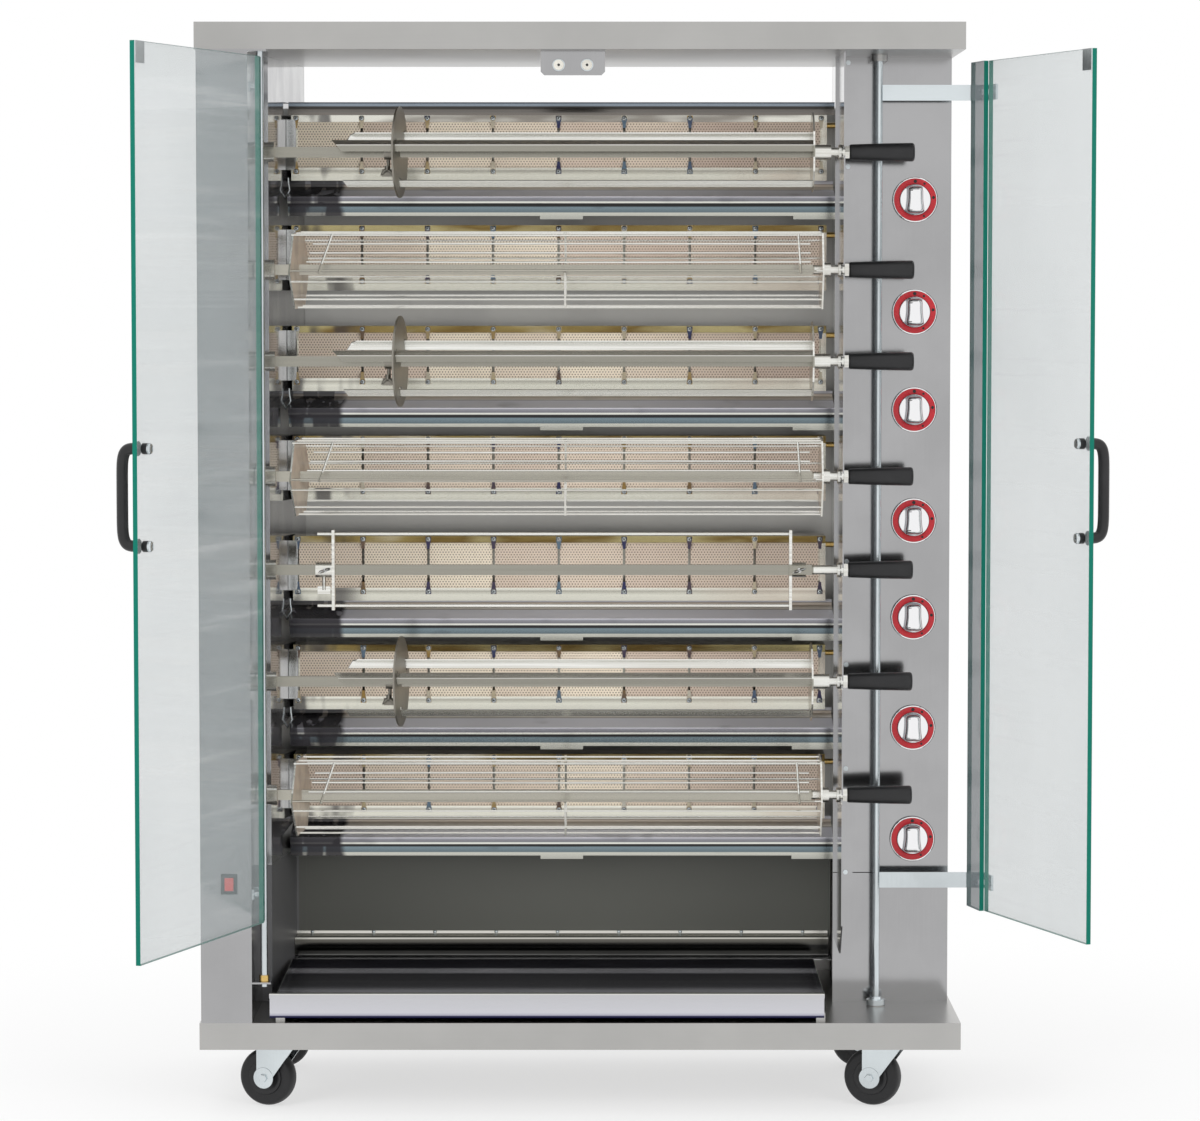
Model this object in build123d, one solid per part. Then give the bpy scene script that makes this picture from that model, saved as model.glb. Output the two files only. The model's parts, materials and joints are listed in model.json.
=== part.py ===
"""Seven-spit gas rotisserie for chickens, in millimetres.

X runs along the front from left to right, Y runs back into the cabinet and Z is up. Every place is first
given from the roof's centre line, the roof's front plane and the floor. The last step moves the whole part
so that its origin is on the floor, under the middle of its outer box.
"""

from build123d import *
from math import cos, hypot, pi, radians, sin, sqrt, tan
import os

# Cabinet
CABINET_WIDTH = 1300
CABINET_DEPTH = 575
CABINET_TOP = 1861
ROOF_THICKNESS = 46
BASE_TOP = 161
BASE_THICKNESS = 46
SHEET = 1.5
HEAVY_SHEET = 2.5
SEAT_GAP = 0.3
RUNNING_GAP = 0.05
CUT_OVERRUN = 5

# Columns and panels
COLUMN_INSET = 3
LEFT_COLUMN_WIDTH = 87
LEFT_FACE_DEPTH = 228
RIGHT_COLUMN_WIDTH = 202
RIGHT_FACE_Y = 230
RIGHT_RETURN = 18
SERVICE_PANEL_HEIGHT = 227
PANEL_JOINT = 1.5

# Chamber
LEFT_WALL_FLANGE = 17
LEFT_WALL_SPLAY = 39
RIGHT_WALL_SPLAY = 9
WALL_BACK_GAP = 3.5
EXHAUST_HEIGHT = 75
LOWER_BACK_RISE = 44
LOWER_BACK_HEIGHT = 195
LOWER_LEDGE = 60

# Rows: the tool on each spit, and heights above the base as shares of the chamber's height
ROW_TOOLS = ("blades", "basket", "blades", "basket", "forks", "blades", "basket")
SPIT_HEIGHT_SHARES = (0.8978, 0.7763, 0.6814, 0.5617, 0.4643, 0.3476, 0.2285)
BURNER_HEIGHT_SHARES = (0.9111, 0.7932, 0.6850, 0.5665, 0.4583, 0.3404, 0.2213)
KNOB_HEIGHT_SHARES = (0.8501, 0.7322, 0.6294, 0.5121, 0.4099, 0.2926, 0.1741)
SHELF_ROWS = (0, 2, 4, 5, 6)

# Burner
BURNER_FACE_Y = 395
BURNER_LEFT_GAP = 53.5
BURNER_RIGHT_GAP = 15.9
TILE_COUNT = 8
TILE_GAP = 4.7
TILE_HEIGHT = 81
TILE_THICKNESS = 14
TILE_RECESS = 4
TRAY_TOP_RAIL = 12
TRAY_BOTTOM_RAIL = 23
TRAY_DEPTH = 75
TRAY_LIP = 10
CLIP_WIDTH = 9
CLIP_REACH = 9
INJECTOR_RADIUS = 5
INJECTOR_LENGTH = 30

# Deflector shelves and cross rails
SHELF_RUN = 78
SHELF_FALL = 19
SHELF_FRONT_FLANGE = 14
SHELF_DROP = 10
RAIL_HEIGHT = 20
RAIL_SETBACK = 12
RAIL_TAB_WIDTH = 76
RAIL_END_WIDTH = 74
RAIL_TAB_HEIGHT = 26

# Gas supply
MANIFOLD_RADIUS = 10.5
MANIFOLD_Y = 330
TAP_BODY_RADIUS = 13
TAP_BODY_LENGTH = 52
TUBE_RADIUS = 4
TUBE_RISE = 55
INLET_RADIUS = 13.2
INLET_LENGTH = 34
INLET_BORE_RADIUS = 9
INLET_HEIGHT = 140

# Spit support
SUPPORT_FRONT_Y = 45
SUPPORT_FOOT_RISE = 105
SUPPORT_FLANGE = 30
SUPPORT_INSET = 4.5
SUPPORT_CORNER_CUT = 55
SUPPORT_SCREW_RADIUS = 4.5
SUPPORT_SCREW_HEIGHT = 2.6
SUPPORT_SCREW_SHARES = (0.993, 0.877, 0.655, 0.433, 0.316, 0.198, 0.080)

# Spit shaft and drive
SPIT_Y = 120
SPIT_RADIUS = 8
SPIT_FLAT_HEIGHT = 18
SPIT_FLAT_THICKNESS = 6
SOCKET_RADIUS = 17.25
SOCKET_LENGTH = 36
SOCKET_GAP = 1
DRIVE_SHAFT_RADIUS = 8
BEARING_RADIUS = 20
BEARING_LENGTH = 10
SPROCKET_RADIUS = 32
SPROCKET_THICKNESS = 5
SPROCKET_TEETH = 16
SPROCKET_TOOTH = 4
CHAIN_THICKNESS = 7
CHAIN_WIDTH = 9
MOTOR_LENGTH = 150
GEARBOX_SIZE = 70
GEARBOX_WIDTH = 50
GEARBOX_DROP = 130
RING_RADIUS = 13
RING_LENGTH = 4.5
NUT_RADIUS = 12
NUT_GAP = 3.5

# Spit grip
GRIP_LENGTH = 112
GRIP_GAP = 11
GRIP_SMALL_RADIUS = 13.5
GRIP_LARGE_RADIUS = 16
GRIP_BORE_RADIUS = 7
GRIP_CHAMFER = 4
GRIP_FACETS = 20

# Spit with three blades and a sliding disc
BLADE_LEG = 14
BLADE_THICKNESS = 2
BLADE_RADIUS = 60
BLADE_ANGLE_SHARES = (0.09, 0.47, 0.735)
BLADE_TIP_GAPS = (152, 133, 150)
BLADE_POINT = 12
END_PLATE_THICKNESS = 3
END_PLATE_X_GAP = 48
END_PLATE_RADIUS = 66
END_HUB_LENGTH = 30
END_HUB_RADIUS = 13
DISC_RADIUS = 78
DISC_THICKNESS = 3
DISC_TILT = 7
DISC_X_GAP = 250.5
DISC_WINDOW_CLEARANCE = 3
DISC_HUB_LENGTH = 20
DISC_HUB_RADIUS = 13
WING_SCREW_RADIUS = 3
WING_SCREW_LENGTH = 22
WING_WIDTH = 22
WING_HEIGHT = 13
WING_THICKNESS = 2.5

# Spit with a basket
BASKET_LEFT_GAP = 75.5
BASKET_RIGHT_GAP = 32
BASKET_PLATE_THICKNESS = 3
BASKET_PLATE_SLANT = 9
BASKET_RADIUS = 75
BASKET_TURN_SHARE = 0.067
BASKET_RIB_SHARE = 0.49
BASKET_WIRES_PER_SIDE = 2
WIRE_RADIUS = 1.75
WIRE_FACETS = 6
LID_SIDE = 2
LID_GAP_SHARE = 0.045
LID_LEFT_INSET = 50
LID_RIGHT_INSET = 37
LID_WIRE_OVERHANG = 17
LID_END_GAP = 3
LID_WIRE_COUNT = 5
LATCH_LENGTH = 14

# Spit with two forks
FORK_X_GAP = 88
FORK_THICKNESS = 5
FORK_HALF_HEIGHT = 69
FORK_WIDTH = 24
PRONG_RADIUS = 3
PRONG_OFFSET = 62
PRONG_TIP_GAP = 107
CLAMP_X_GAP = 132
CLAMP_HUB_LENGTH = 28
FORK_HUB_LENGTH = 24

# Doors
DOOR_PLANE_Y = 26
GLASS_THICKNESS = 8
DOOR_BOTTOM_GAP = 176
DOOR_TOP_GAP = 13
MEETING_X = -12
MEETING_GAP = 4
JOINT_GAP = 1
ROD_RADIUS = 6
HANDLE_SPACING = 155
HANDLE_HEIGHT = 1082
HANDLE_EDGE = 22
HANDLE_REACH = 38
HANDLE_RADIUS = 9.5
HANDLE_BEND = 16
HANDLE_CAP_RADIUS = 6
HANDLE_CAP_LENGTH = 14
HANDLE_EDGE_CUT = 4
ARM_THICKNESS = 4
CATCH_CLIP_WIDTH = 33
CATCH_CLIP_HEIGHT = 35
CATCH_CLIP_THICKNESS = 2
SPACER_RADIUS = 4.5

# Left door
LEFT_ROD_INSET = 20
LEFT_ROD_Y = 15
LEFT_DOOR_OPEN = 109
LEFT_PANE_START = 36.2
LEFT_STRIP_GAP = 8
LEFT_STRIP_WIDTH = 28
LEFT_STRIP_OFFSET = 5.5
LEFT_ARM_HEIGHT = 17
LEFT_ARM_BOTTOM_INSET = 39
LEFT_ARM_TOP_INSET = 58
LEFT_ARM_REACH = 18
BUSH_RADIUS = 8.25
BUSH_LENGTH = 11
BUSH_BRACKET_RISE = 70
BUSH_BRACKET_THICKNESS = 3
BUSH_BRACKET_REACH = 32
BUSH_BRACKET_DEPTH = 34
TOP_BRACKET_THICKNESS = 3

# Right door
RIGHT_ROD_INSET = 73
RIGHT_ROD_Y = 182
RIGHT_DOOR_OPEN = 109.2
RIGHT_PANE_START = 121
RIGHT_STRIP_START = 51.4
RIGHT_STRIP_RISE = 2
RIGHT_STRIP_LIFT = 8.5
RIGHT_SPACER = 20
RIGHT_ARM_FLANGE = 46
RIGHT_ARM_HEIGHT = 27
RIGHT_ARM_BOTTOM_INSET = 31
RIGHT_ARM_TOP_INSET = 65
EYE_THICKNESS = 11
EYE_RADIUS = 14
COLLAR_RADIUS = 16
COLLAR_LENGTH = 11.5

# Catch plate under the roof
CATCH_PLATE_WIDTH = 109
CATCH_PLATE_HEIGHT = 42
CATCH_PLATE_CORNER = 6
MAGNET_RADIUS = 10.5
MAGNET_THICKNESS = 4
MAGNET_SPACING = 48

# Knobs
KNOB_INSET = 63
KNOB_RADIUS = 39.5
KNOB_SKIRT = 5
KNOB_GRIP_HALF_WIDTH = 14
KNOB_GRIP_RADIUS = 24
KNOB_GRIP_HEIGHT = 19
KNOB_GAP = 1
KNOB_STEM_RADIUS = 4
KNOB_STEM_LENGTH = 30

# Mains switch
SWITCH_WIDTH = 28
SWITCH_HEIGHT = 35
SWITCH_INSET = 49
SWITCH_RISE = 239
SWITCH_FLANGE = 2
SWITCH_BODY_DEPTH = 24
ROCKER_WIDTH = 15
ROCKER_HEIGHT = 22
ROCKER_DEPTH = 9
ROCKER_PROUD = 3
ROCKER_PIVOT_RADIUS = 2
ROCKER_GAP = 1.2

# Drip tray
TRAY_LEFT_GAP = 41
TRAY_FASCIA_OVERHANG = 12
TRAY_RIGHT_GAP = 30
TRAY_FRONT_Y = 15
TRAY_BACK_GAP = 5
TRAY_RISE = 7
TRAY_HEIGHT = 43
TRAY_RIM = 12
TRAY_RIM_DROP = 8
RUNNER_WIDTH = 14
RUNNER_LIP = 9

# Casters
WHEEL_RADIUS = 50
WHEEL_WIDTH = 32
WHEEL_CHAMFER = 5
WHEEL_BORE_RADIUS = 6
CASTER_LEFT_INSET = 109
CASTER_RIGHT_INSET = 143
CASTER_FRONT_Y = 100
CASTER_REAR_INSET = 100
CASTER_TRAIL = 28
CASTER_YAW = -20
CASTER_PLATE_WIDTH = 85
CASTER_PLATE_LENGTH = 105
CASTER_PLATE_THICKNESS = 3
CASTER_BOLT_SPREAD_SHARE = 0.72
CASTER_BOLT_RADIUS = 6.5
CASTER_BOLT_HEIGHT = 5
CHANNEL_WIDTH = 130
CHANNEL_DEPTH = 31.5
FORK_SHEET = 3
FORK_SIDE_GAP = 3
KINGPIN_RADIUS = 7
RACE_RADIUS = 27
RACE_HEIGHT = 7
AXLE_BOSS_RADIUS = 13

# Places that follow from the sizes above
LEFT = -CABINET_WIDTH / 2
RIGHT = CABINET_WIDTH / 2
ROOF_UNDERSIDE = CABINET_TOP - ROOF_THICKNESS
BASE_BOTTOM = BASE_TOP - BASE_THICKNESS
CHAMBER_HEIGHT = ROOF_UNDERSIDE - BASE_TOP
STANDING = (BASE_TOP, ROOF_UNDERSIDE)
LEFT_OUTER_X = LEFT + COLUMN_INSET
LEFT_INNER_X = LEFT_OUTER_X + LEFT_COLUMN_WIDTH
RIGHT_OUTER_X = RIGHT - COLUMN_INSET - HEAVY_SHEET + PANEL_JOINT / 3
RIGHT_INNER_X = RIGHT_OUTER_X - RIGHT_COLUMN_WIDTH
BACK_Y = CABINET_DEPTH - SHEET
CHAMBER_WALL_BACK = BACK_Y - WALL_BACK_GAP
LOWER_BACK_Y = BURNER_FACE_Y + TRAY_DEPTH
LOWER_BACK_FOOT = BASE_TOP + LOWER_BACK_RISE
LOWER_BACK_TOP = LOWER_BACK_FOOT + LOWER_BACK_HEIGHT
PANEL_SPLIT_Z = BASE_TOP + SERVICE_PANEL_HEIGHT
CHAMBER_TOP = ROOF_UNDERSIDE - EXHAUST_HEIGHT
SPIT_HEIGHTS = [BASE_TOP + share * CHAMBER_HEIGHT for share in SPIT_HEIGHT_SHARES]
BURNER_HEIGHTS = [BASE_TOP + share * CHAMBER_HEIGHT for share in BURNER_HEIGHT_SHARES]
KNOB_HEIGHTS = [BASE_TOP + share * CHAMBER_HEIGHT for share in KNOB_HEIGHT_SHARES]
KNOB_X = RIGHT_OUTER_X - KNOB_INSET
SWITCH_X = LEFT_OUTER_X + SWITCH_INSET
SWITCH_Z = BASE_TOP + SWITCH_RISE
LEFT_ROD_X = LEFT_INNER_X + LEFT_ROD_INSET
RIGHT_ROD_X = RIGHT_INNER_X + RIGHT_ROD_INSET
DOOR_BOTTOM = BASE_TOP + DOOR_BOTTOM_GAP
DOOR_TOP = ROOF_UNDERSIDE - DOOR_TOP_GAP
BUSH_BRACKET_Z = BASE_TOP + BUSH_BRACKET_RISE
SUPPORT_FOOT_Z = BASE_TOP + SUPPORT_FOOT_RISE
SUPPORT_X = (RIGHT_INNER_X + SUPPORT_INSET, RIGHT_INNER_X + SUPPORT_INSET + HEAVY_SHEET)
LEFT_WALL_BACK_X = LEFT_INNER_X + LEFT_WALL_FLANGE + LEFT_WALL_SPLAY
RIGHT_WALL_BACK_X = RIGHT_INNER_X + SUPPORT_INSET + RIGHT_WALL_SPLAY
BURNER_X = (LEFT_INNER_X + BURNER_LEFT_GAP, RIGHT_INNER_X - BURNER_RIGHT_GAP)
TILE_PITCH = (BURNER_X[1] - BURNER_X[0]) / TILE_COUNT
TILE_WIDTH = TILE_PITCH - TILE_GAP
INJECTOR_X = (BURNER_X[1] + TRAY_LIP, BURNER_X[1] + TRAY_LIP + INJECTOR_LENGTH)
INJECTOR_Y = BURNER_FACE_Y + TRAY_DEPTH / 2
INLET_Z = BASE_TOP + INLET_HEIGHT
TRAY_BOTTOM = BASE_TOP + TRAY_RISE
TRAY_TOP = TRAY_BOTTOM + TRAY_HEIGHT
TRAY_BACK_Y = BURNER_FACE_Y - TRAY_BACK_GAP
TRAY_X = (LEFT_INNER_X + TRAY_LEFT_GAP, SUPPORT_X[0] - TRAY_RIGHT_GAP)
CHAIN_RIGHT_X = LEFT_INNER_X - SHEET - BEARING_LENGTH - SEAT_GAP
CHAIN_X = (CHAIN_RIGHT_X - CHAIN_WIDTH, CHAIN_RIGHT_X)
SPROCKET_X = (CHAIN_RIGHT_X - (CHAIN_WIDTH + SPROCKET_THICKNESS) / 2,
              CHAIN_RIGHT_X - (CHAIN_WIDTH - SPROCKET_THICKNESS) / 2)
CHAIN_HALF_WIDTH = SPROCKET_RADIUS + SEAT_GAP
DRIVER_Z = SPIT_HEIGHTS[-1] - GEARBOX_DROP
GRIP_X = (SUPPORT_X[1] + GRIP_GAP, SUPPORT_X[1] + GRIP_GAP + GRIP_LENGTH)
END_PLATE_X = SUPPORT_X[0] - END_PLATE_X_GAP - END_PLATE_THICKNESS
JOURNAL_X = END_PLATE_X + END_PLATE_THICKNESS
FORK_X = SUPPORT_X[0] - FORK_X_GAP
BASKET_RIGHT_PLATE = (SUPPORT_X[0] - BASKET_RIGHT_GAP - BASKET_PLATE_THICKNESS, SUPPORT_X[0] - BASKET_RIGHT_GAP)
BASKET_LENGTH = BASKET_RIGHT_PLATE[0] - LEFT_INNER_X - BASKET_LEFT_GAP
CASTER_REAR_Y = CABINET_DEPTH - CASTER_REAR_INSET
CASTER_AXLES_X = (LEFT + CASTER_LEFT_INSET, RIGHT - CASTER_RIGHT_INSET)
CASTER_PLATE_TOP = BASE_TOP - SHEET - CHANNEL_DEPTH
YAW = radians(CASTER_YAW)
RACE_BOTTOM = CASTER_PLATE_TOP - CASTER_PLATE_THICKNESS - RACE_HEIGHT
SWIVEL_X = [x + CASTER_TRAIL * cos(YAW) for x in CASTER_AXLES_X]


def block(x, y, z):
    """A box between two planes on each axis."""
    sides = [high - low for low, high in (x, y, z)]
    middle = [(low + high) / 2 for low, high in (x, y, z)]
    return Pos(*middle) * Box(*sides)


def around(middle, width):
    """The two ends of a stretch of a given width about its middle."""
    return (middle - width / 2, middle + width / 2)


def rod_x(x, y, z, radius):
    """A round bar along X."""
    return Pos(sum(x) / 2, y, z) * Rot(0, 90, 0) * Cylinder(radius, x[1] - x[0])


def rod_y(x, y, z, radius):
    """A round bar along Y."""
    return Pos(x, sum(y) / 2, z) * Rot(90, 0, 0) * Cylinder(radius, y[1] - y[0])


def rod_z(x, y, z, radius):
    """A round bar along Z."""
    return Pos(x, y, sum(z) / 2) * Cylinder(radius, z[1] - z[0])


def prism_x(points, x):
    """A solid along X whose section is given as (y, z) points."""
    face = make_face(Polyline(*[(x[0], y, z) for y, z in points], close=True))
    return extrude(face, x[1] - x[0], dir=(1, 0, 0))


def prism_y(points, y):
    """A solid along Y whose section is given as (x, z) points."""
    face = make_face(Polyline(*[(x, y[0], z) for x, z in points], close=True))
    return extrude(face, y[1] - y[0], dir=(0, 1, 0))


def prism_z(points, z):
    """A solid along Z whose section is given as (x, y) points."""
    face = make_face(Polyline(*[(x, y, z[0]) for x, y in points], close=True))
    return extrude(face, z[1] - z[0], dir=(0, 0, 1))


def folded(points, thickness):
    """The closed section of a sheet bent along points, with its thickness on their left."""
    normals = []
    for (a, b), (c, d) in zip(points, points[1:]):
        length = hypot(c - a, d - b)
        normals.append(((b - d) / length, (c - a) / length))
    far_side = []
    for place, (a, b) in enumerate(points):
        before = normals[max(place - 1, 0)]
        after = normals[min(place, len(normals) - 1)]
        share = thickness / (1 + before[0] * after[0] + before[1] * after[1])
        far_side.append((a + share * (before[0] + after[0]), b + share * (before[1] + after[1])))
    return list(points) + far_side[::-1]


def polygon(radius, count, turn=0):
    """The corners of a regular polygon about the origin."""
    return [(radius * cos(2 * pi * (k + turn) / count), radius * sin(2 * pi * (k + turn) / count))
            for k in range(count)]


NODES = {}


def node(name, *pieces):
    """Keep the separate solids of one sub-part under its name."""
    NODES[name] = [solid for piece in pieces for solid in piece.solids()]


# Cabinet
def base_tray():
    """A folded pan with two channels for the casters and two runners for the drip tray."""
    pan = block((LEFT, RIGHT), (0, CABINET_DEPTH), (BASE_BOTTOM, BASE_TOP))
    pan -= block((LEFT + SHEET, RIGHT - SHEET), (SHEET, CABINET_DEPTH - SHEET),
                 (BASE_BOTTOM - CUT_OVERRUN, BASE_TOP - SHEET))
    channels = []
    for middle in SWIVEL_X:
        low, high = around(middle, CHANNEL_WIDTH)
        top = BASE_TOP - SHEET
        section = folded([(low, top), (low, CASTER_PLATE_TOP), (high, CASTER_PLATE_TOP), (high, top)],
                         HEAVY_SHEET)
        channels.append(prism_y(section, (SHEET, CABINET_DEPTH - SHEET)))
    runners = []
    for edge, outward in ((TRAY_X[0], -1), (TRAY_X[1], 1)):
        outer = edge + outward * SEAT_GAP
        inner = outer - outward * RUNNER_WIDTH
        top = TRAY_BOTTOM - SEAT_GAP
        wall = block(sorted((outer, outer + outward * SHEET)), (TRAY_FRONT_Y, TRAY_BACK_Y),
                     (BASE_TOP, top + RUNNER_LIP))
        ledge = block(sorted((inner, outer)), (TRAY_FRONT_Y, TRAY_BACK_Y), (BASE_TOP, top))
        runners.append(wall + ledge)
    node("base_tray", pan, *channels, *runners)


def roof_canopy():
    """A folded lid closed below by a polished panel."""
    lid = block((LEFT, RIGHT), (0, CABINET_DEPTH), (ROOF_UNDERSIDE, CABINET_TOP))
    lid -= block((LEFT + SHEET, RIGHT - SHEET), (SHEET, CABINET_DEPTH - SHEET),
                 (ROOF_UNDERSIDE - CUT_OVERRUN, CABINET_TOP - SHEET))
    panel = block((LEFT + SHEET, RIGHT - SHEET), (SHEET, CABINET_DEPTH - SHEET),
                  (ROOF_UNDERSIDE, ROOF_UNDERSIDE + SHEET))
    node("roof_canopy", lid, panel)


def left_column():
    """A housing folded round the drive, with its bearings and the brackets of the left door's rod."""
    housing = prism_z(folded([(LEFT_OUTER_X, BACK_Y), (LEFT_OUTER_X, 0), (LEFT_INNER_X, 0),
                              (LEFT_INNER_X, LEFT_FACE_DEPTH)], SHEET), STANDING)
    window_x = around(SWITCH_X, SWITCH_WIDTH - 2 * SWITCH_FLANGE)
    window_z = around(SWITCH_Z, SWITCH_HEIGHT - 2 * SWITCH_FLANGE)
    housing -= block(window_x, (-CUT_OVERRUN, CUT_OVERRUN), window_z)
    bearings = []
    inner = LEFT_INNER_X - SHEET
    for z in SPIT_HEIGHTS:
        bore = rod_x((inner - BEARING_LENGTH, inner + CUT_OVERRUN), SPIT_Y, z, DRIVE_SHAFT_RADIUS + RUNNING_GAP)
        housing -= bore
        flange = block((inner - BEARING_LENGTH, inner), around(SPIT_Y, 2 * BEARING_RADIUS), around(z, 2 * BEARING_RADIUS))
        bearings.append(flange - bore)
    rod_hole = ROD_RADIUS + RUNNING_GAP
    low = (BUSH_BRACKET_Z - BUSH_BRACKET_THICKNESS, BUSH_BRACKET_Z)
    bracket_y = around(LEFT_ROD_Y, BUSH_BRACKET_DEPTH)
    bracket = block((LEFT_INNER_X, LEFT_INNER_X + BUSH_BRACKET_REACH), (0, bracket_y[1]), low)
    bush_z = (low[0], BUSH_BRACKET_Z + BUSH_LENGTH)
    bracket -= rod_z(LEFT_ROD_X, LEFT_ROD_Y, low, rod_hole)
    bush = rod_z(LEFT_ROD_X, LEFT_ROD_Y, (low[1], bush_z[1]), BUSH_RADIUS)
    bush -= rod_z(LEFT_ROD_X, LEFT_ROD_Y, bush_z, rod_hole)
    top_z = (ROOF_UNDERSIDE - TOP_BRACKET_THICKNESS, ROOF_UNDERSIDE)
    top = block((LEFT_INNER_X, LEFT_INNER_X + BUSH_BRACKET_REACH), (0, bracket_y[1]), top_z)
    top -= rod_z(LEFT_ROD_X, LEFT_ROD_Y, top_z, rod_hole)
    node("left_column", housing, bracket, bush, top)
    node("drive_bearings", *bearings)


def right_column():
    """The right side with its returns, and the eye and collar that carry the right door's rod."""
    side = prism_z(folded([(RIGHT_OUTER_X - RIGHT_RETURN, BACK_Y), (RIGHT_OUTER_X, BACK_Y),
                           (RIGHT_OUTER_X, RIGHT_FACE_Y + SHEET),
                           (RIGHT_OUTER_X - RIGHT_RETURN, RIGHT_FACE_Y + SHEET)][::-1], SHEET), STANDING)
    hole = ROD_RADIUS + RUNNING_GAP
    eye_z = (ROOF_UNDERSIDE - EYE_THICKNESS, ROOF_UNDERSIDE)
    eye = rod_z(RIGHT_ROD_X, RIGHT_ROD_Y, eye_z, EYE_RADIUS)
    eye += block(around(RIGHT_ROD_X, 2 * EYE_RADIUS), (RIGHT_ROD_Y, RIGHT_FACE_Y), eye_z)
    eye -= rod_z(RIGHT_ROD_X, RIGHT_ROD_Y, eye_z, hole)
    collar_z = (BASE_TOP, BASE_TOP + COLLAR_LENGTH)
    collar = rod_z(RIGHT_ROD_X, RIGHT_ROD_Y, collar_z, COLLAR_RADIUS)
    collar -= rod_z(RIGHT_ROD_X, RIGHT_ROD_Y, collar_z, hole)
    node("right_column", side, eye, collar)


def control_panel():
    """The front of the right column: a panel with the knob holes and a service panel below it."""
    x = (RIGHT_INNER_X, RIGHT_OUTER_X)
    y = (RIGHT_FACE_Y, RIGHT_FACE_Y + SHEET)
    upper = block(x, y, (PANEL_SPLIT_Z + PANEL_JOINT, ROOF_UNDERSIDE))
    for z in KNOB_HEIGHTS:
        upper -= rod_y(KNOB_X, (y[0] - CUT_OVERRUN, y[1] + CUT_OVERRUN), z, KNOB_STEM_RADIUS + RUNNING_GAP)
    lower = block(x, y, (BASE_TOP, PANEL_SPLIT_Z))
    node("control_panel", upper, lower)


def spit_support():
    """The folded plate that carries the right ends of the spits, each in a notch open to the front."""
    back = RIGHT_FACE_Y
    reach = SUPPORT_CORNER_CUT
    side = [(SUPPORT_FRONT_Y, ROOF_UNDERSIDE), (SUPPORT_FRONT_Y, SUPPORT_FOOT_Z + reach),
            (SUPPORT_FRONT_Y + reach, SUPPORT_FOOT_Z), (back, SUPPORT_FOOT_Z), (back, ROOF_UNDERSIDE)]
    web = prism_x(side, SUPPORT_X)
    for z in SPIT_HEIGHTS:
        notch = SPIT_RADIUS + RUNNING_GAP
        web -= rod_x(SUPPORT_X, SPIT_Y, z, notch)
        web -= block(SUPPORT_X, (SUPPORT_FRONT_Y - CUT_OVERRUN, SPIT_Y), around(z, 2 * notch))
    flange = block((SUPPORT_X[1], SUPPORT_X[0] + SUPPORT_FLANGE), (back - HEAVY_SHEET, back),
                   (SUPPORT_FOOT_Z, ROOF_UNDERSIDE))
    screws = []
    for share in SUPPORT_SCREW_SHARES:
        z = SUPPORT_FOOT_Z + share * (ROOF_UNDERSIDE - SUPPORT_FOOT_Z)
        hexagon = [(a, b) for a, b in polygon(SUPPORT_SCREW_RADIUS, 6)]
        face_y = back - HEAVY_SHEET
        x = SUPPORT_X[1] + SUPPORT_FLANGE / 2
        screws.append(prism_y([(x + a, z + b) for a, b in hexagon], (face_y - SUPPORT_SCREW_HEIGHT, face_y)))
    node("spit_support", web + flange)
    node("support_screws", *screws)


def chamber_walls():
    """The splayed side walls, the lower back panel and the closing strip above the top burner."""
    left = prism_z(folded([(LEFT_INNER_X - SHEET, LEFT_FACE_DEPTH), (LEFT_INNER_X + LEFT_WALL_FLANGE, LEFT_FACE_DEPTH),
                           (LEFT_WALL_BACK_X, CHAMBER_WALL_BACK)], SHEET), STANDING)
    right = prism_z(folded([(RIGHT_INNER_X + SUPPORT_INSET, RIGHT_FACE_Y + SHEET + SEAT_GAP),
                            (RIGHT_WALL_BACK_X, CHAMBER_WALL_BACK)][::-1], SHEET), STANDING)
    for row in range(len(ROW_TOOLS)):
        right -= rod_x(INJECTOR_X, INJECTOR_Y, injector_height(row), INJECTOR_RADIUS + RUNNING_GAP)
    y = LOWER_BACK_Y
    back = prism_x(folded([(y - LOWER_LEDGE, LOWER_BACK_FOOT), (y, LOWER_BACK_FOOT), (y, LOWER_BACK_TOP)], SHEET),
                   (wall_x(y, -1) + SEAT_GAP, wall_x(y - LOWER_LEDGE, 1) - SEAT_GAP))
    node("chamber_walls", left, right, back)


def wall_x(y, side):
    """The inner face of the chamber's left (-1) or right (1) wall at a depth."""
    if side < 0:
        start, end, front = LEFT_INNER_X + LEFT_WALL_FLANGE, LEFT_WALL_BACK_X, LEFT_FACE_DEPTH
    else:
        start, end, front = RIGHT_INNER_X + SUPPORT_INSET, RIGHT_WALL_BACK_X, RIGHT_FACE_Y + SHEET
    return start + (end - start) * (y - front) / (CHAMBER_WALL_BACK - front)


def back_covers():
    """Sheets behind the two columns and behind the burners, with the inlet's hole."""
    y = (BACK_Y, CABINET_DEPTH)
    left = block((LEFT_OUTER_X, LEFT_WALL_BACK_X), y, STANDING)
    right = block((RIGHT_WALL_BACK_X, RIGHT_OUTER_X - RIGHT_RETURN), y, STANDING)
    right -= rod_y(KNOB_X, y, INLET_Z, MANIFOLD_RADIUS + RUNNING_GAP)
    middle = block((LEFT_WALL_BACK_X, RIGHT_WALL_BACK_X), y, (BASE_TOP, CHAMBER_TOP))
    node("back_covers", left, right, middle)


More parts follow.
